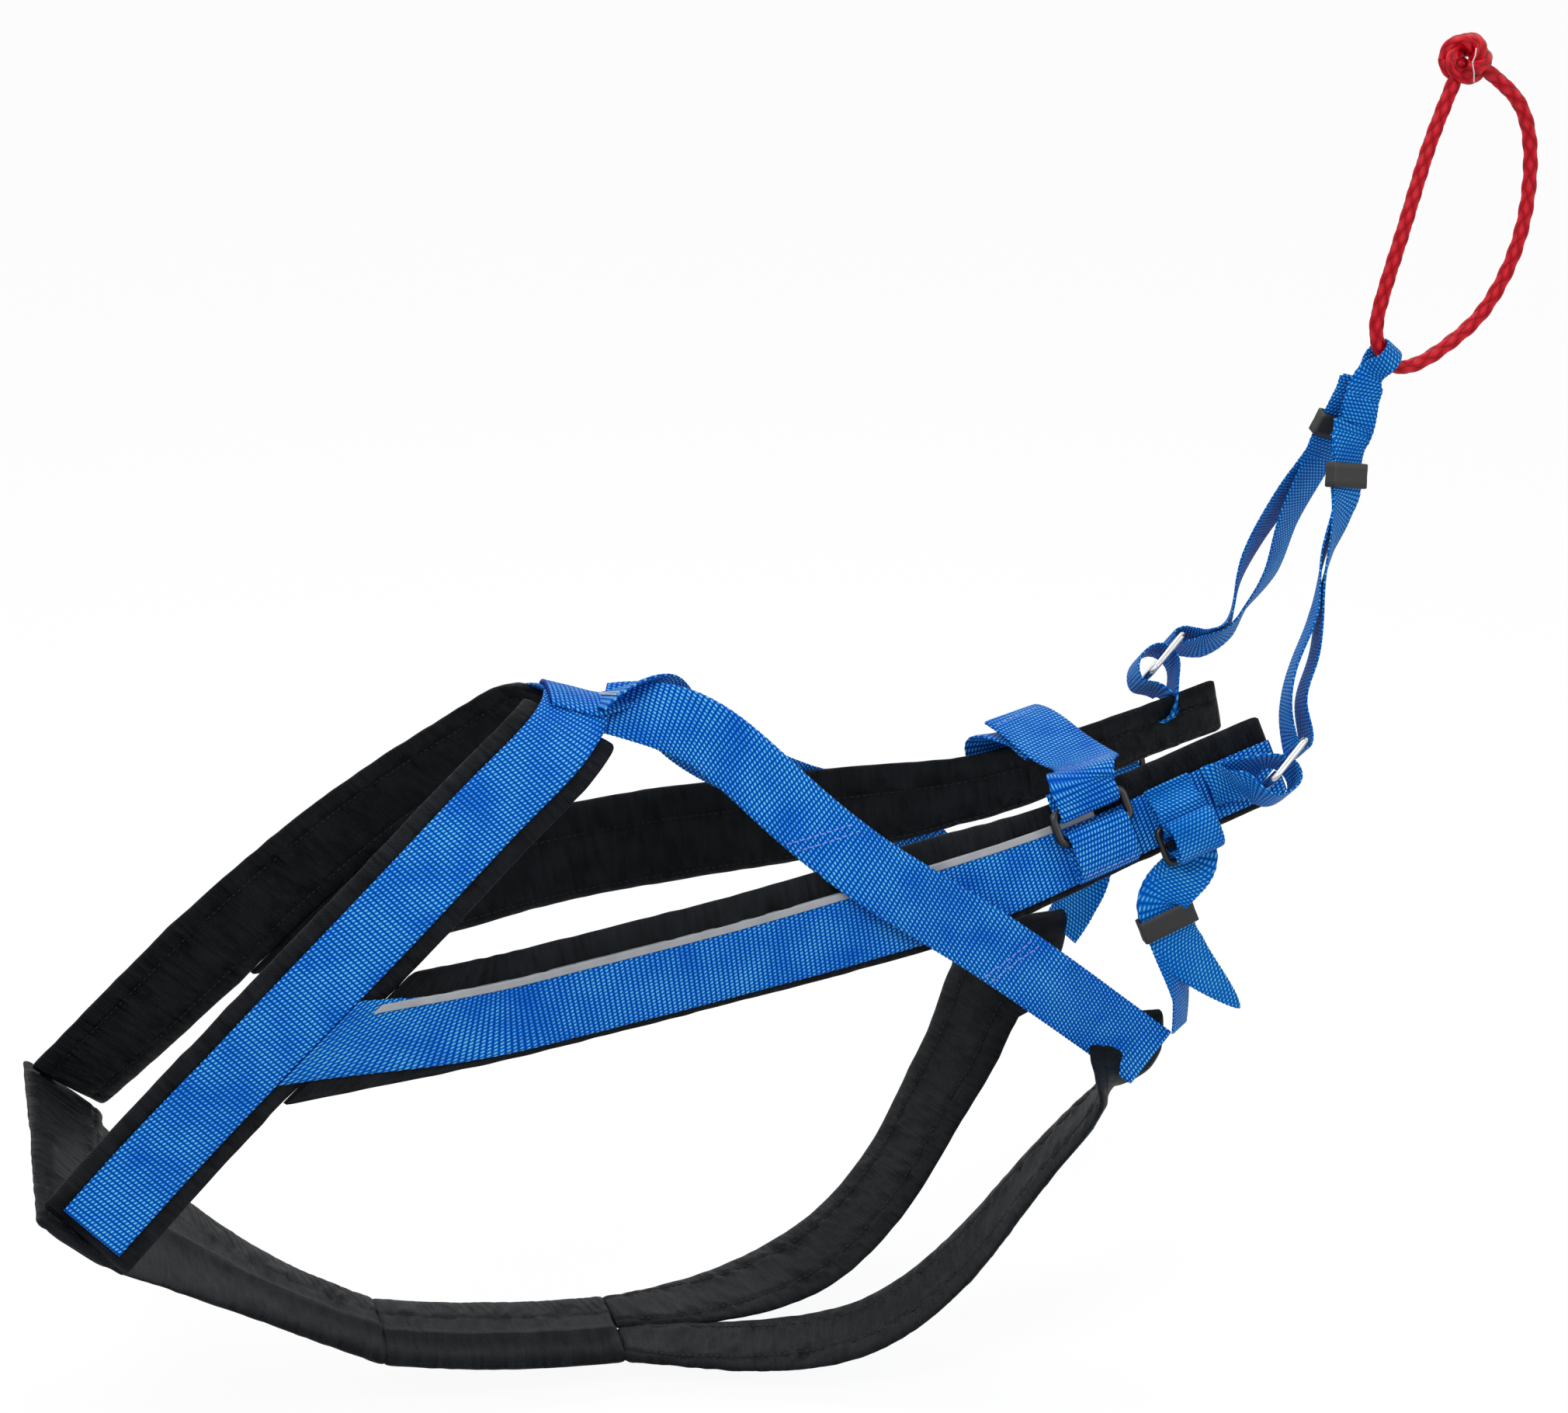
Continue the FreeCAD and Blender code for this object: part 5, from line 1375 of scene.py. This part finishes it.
dress(stub_end, "rope")
dress(tie_look, "rope")

# ---- Floor, lights and world ----
FLOOR_DROP = 0.012
FLOOR_SIZE = 44
FLOOR_GLOW = 1.06
GLOW_SHARE = 0.88
ROOM_LIGHT = 0.42
WHITE = (1, 1, 1, 1)
LAMPS = (("key", (-0.9, -1.5, 1.8), 0.8, 21), ("fill", (1.7, -1.5, 0.9), 1.2, 6),
         ("top", (0.2, 0.7, 2.0), 1.2, 14))


def stage_material():
    """Pale floor that looks white to the camera and still takes the object's shadow."""
    material, m = new_material("floor_look")
    m.set(Roughness=0.9, Specular_IOR_Level=0.0, Base_Color=(0.8, 0.8, 0.8, 1))
    glow = m.add("ShaderNodeEmission", [("Color", WHITE), ("Strength", FLOOR_GLOW)])
    camera_ray = m.add("ShaderNodeLightPath").outputs["Is Camera Ray"]
    m.mixed(m.times(camera_ray, GLOW_SHARE), m.shader.outputs[0], glow.outputs[0],
            "Material Output")
    return material


floor_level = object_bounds()[0].z - FLOOR_DROP
bpy.ops.mesh.primitive_plane_add(size=FLOOR_SIZE, location=(AIM.x, 0, floor_level))
floor = bpy.context.object
floor.name = "floor"
floor.data.materials.append(stage_material())

world = bpy.data.worlds.new("world")
bpy.context.scene.world = world
# the camera and reflections see white; the rest is lit more softly
sky = Nodes(world)
dim = sky.tree.nodes["Background"]
dim.inputs["Color"].default_value = WHITE
dim.inputs["Strength"].default_value = ROOM_LIGHT
white = sky.add("ShaderNodeBackground", [("Color", WHITE), ("Strength", 1.0)])
rays = sky.add("ShaderNodeLightPath").outputs
seen = sky.math("MAXIMUM", rays["Is Camera Ray"], rays["Is Glossy Ray"])
sky.mixed(seen, dim.outputs[0], white.outputs[0], "World Output")

for lamp_name, place, lamp_size, power in LAMPS:
    lamp_data = bpy.data.lights.new(lamp_name, "AREA")
    lamp_data.size = lamp_size
    lamp_data.energy = power
    aim(in_scene(lamp_name, lamp_data), place, AIM - Vector(place))

bpy.context.scene.view_settings.view_transform = "Standard"
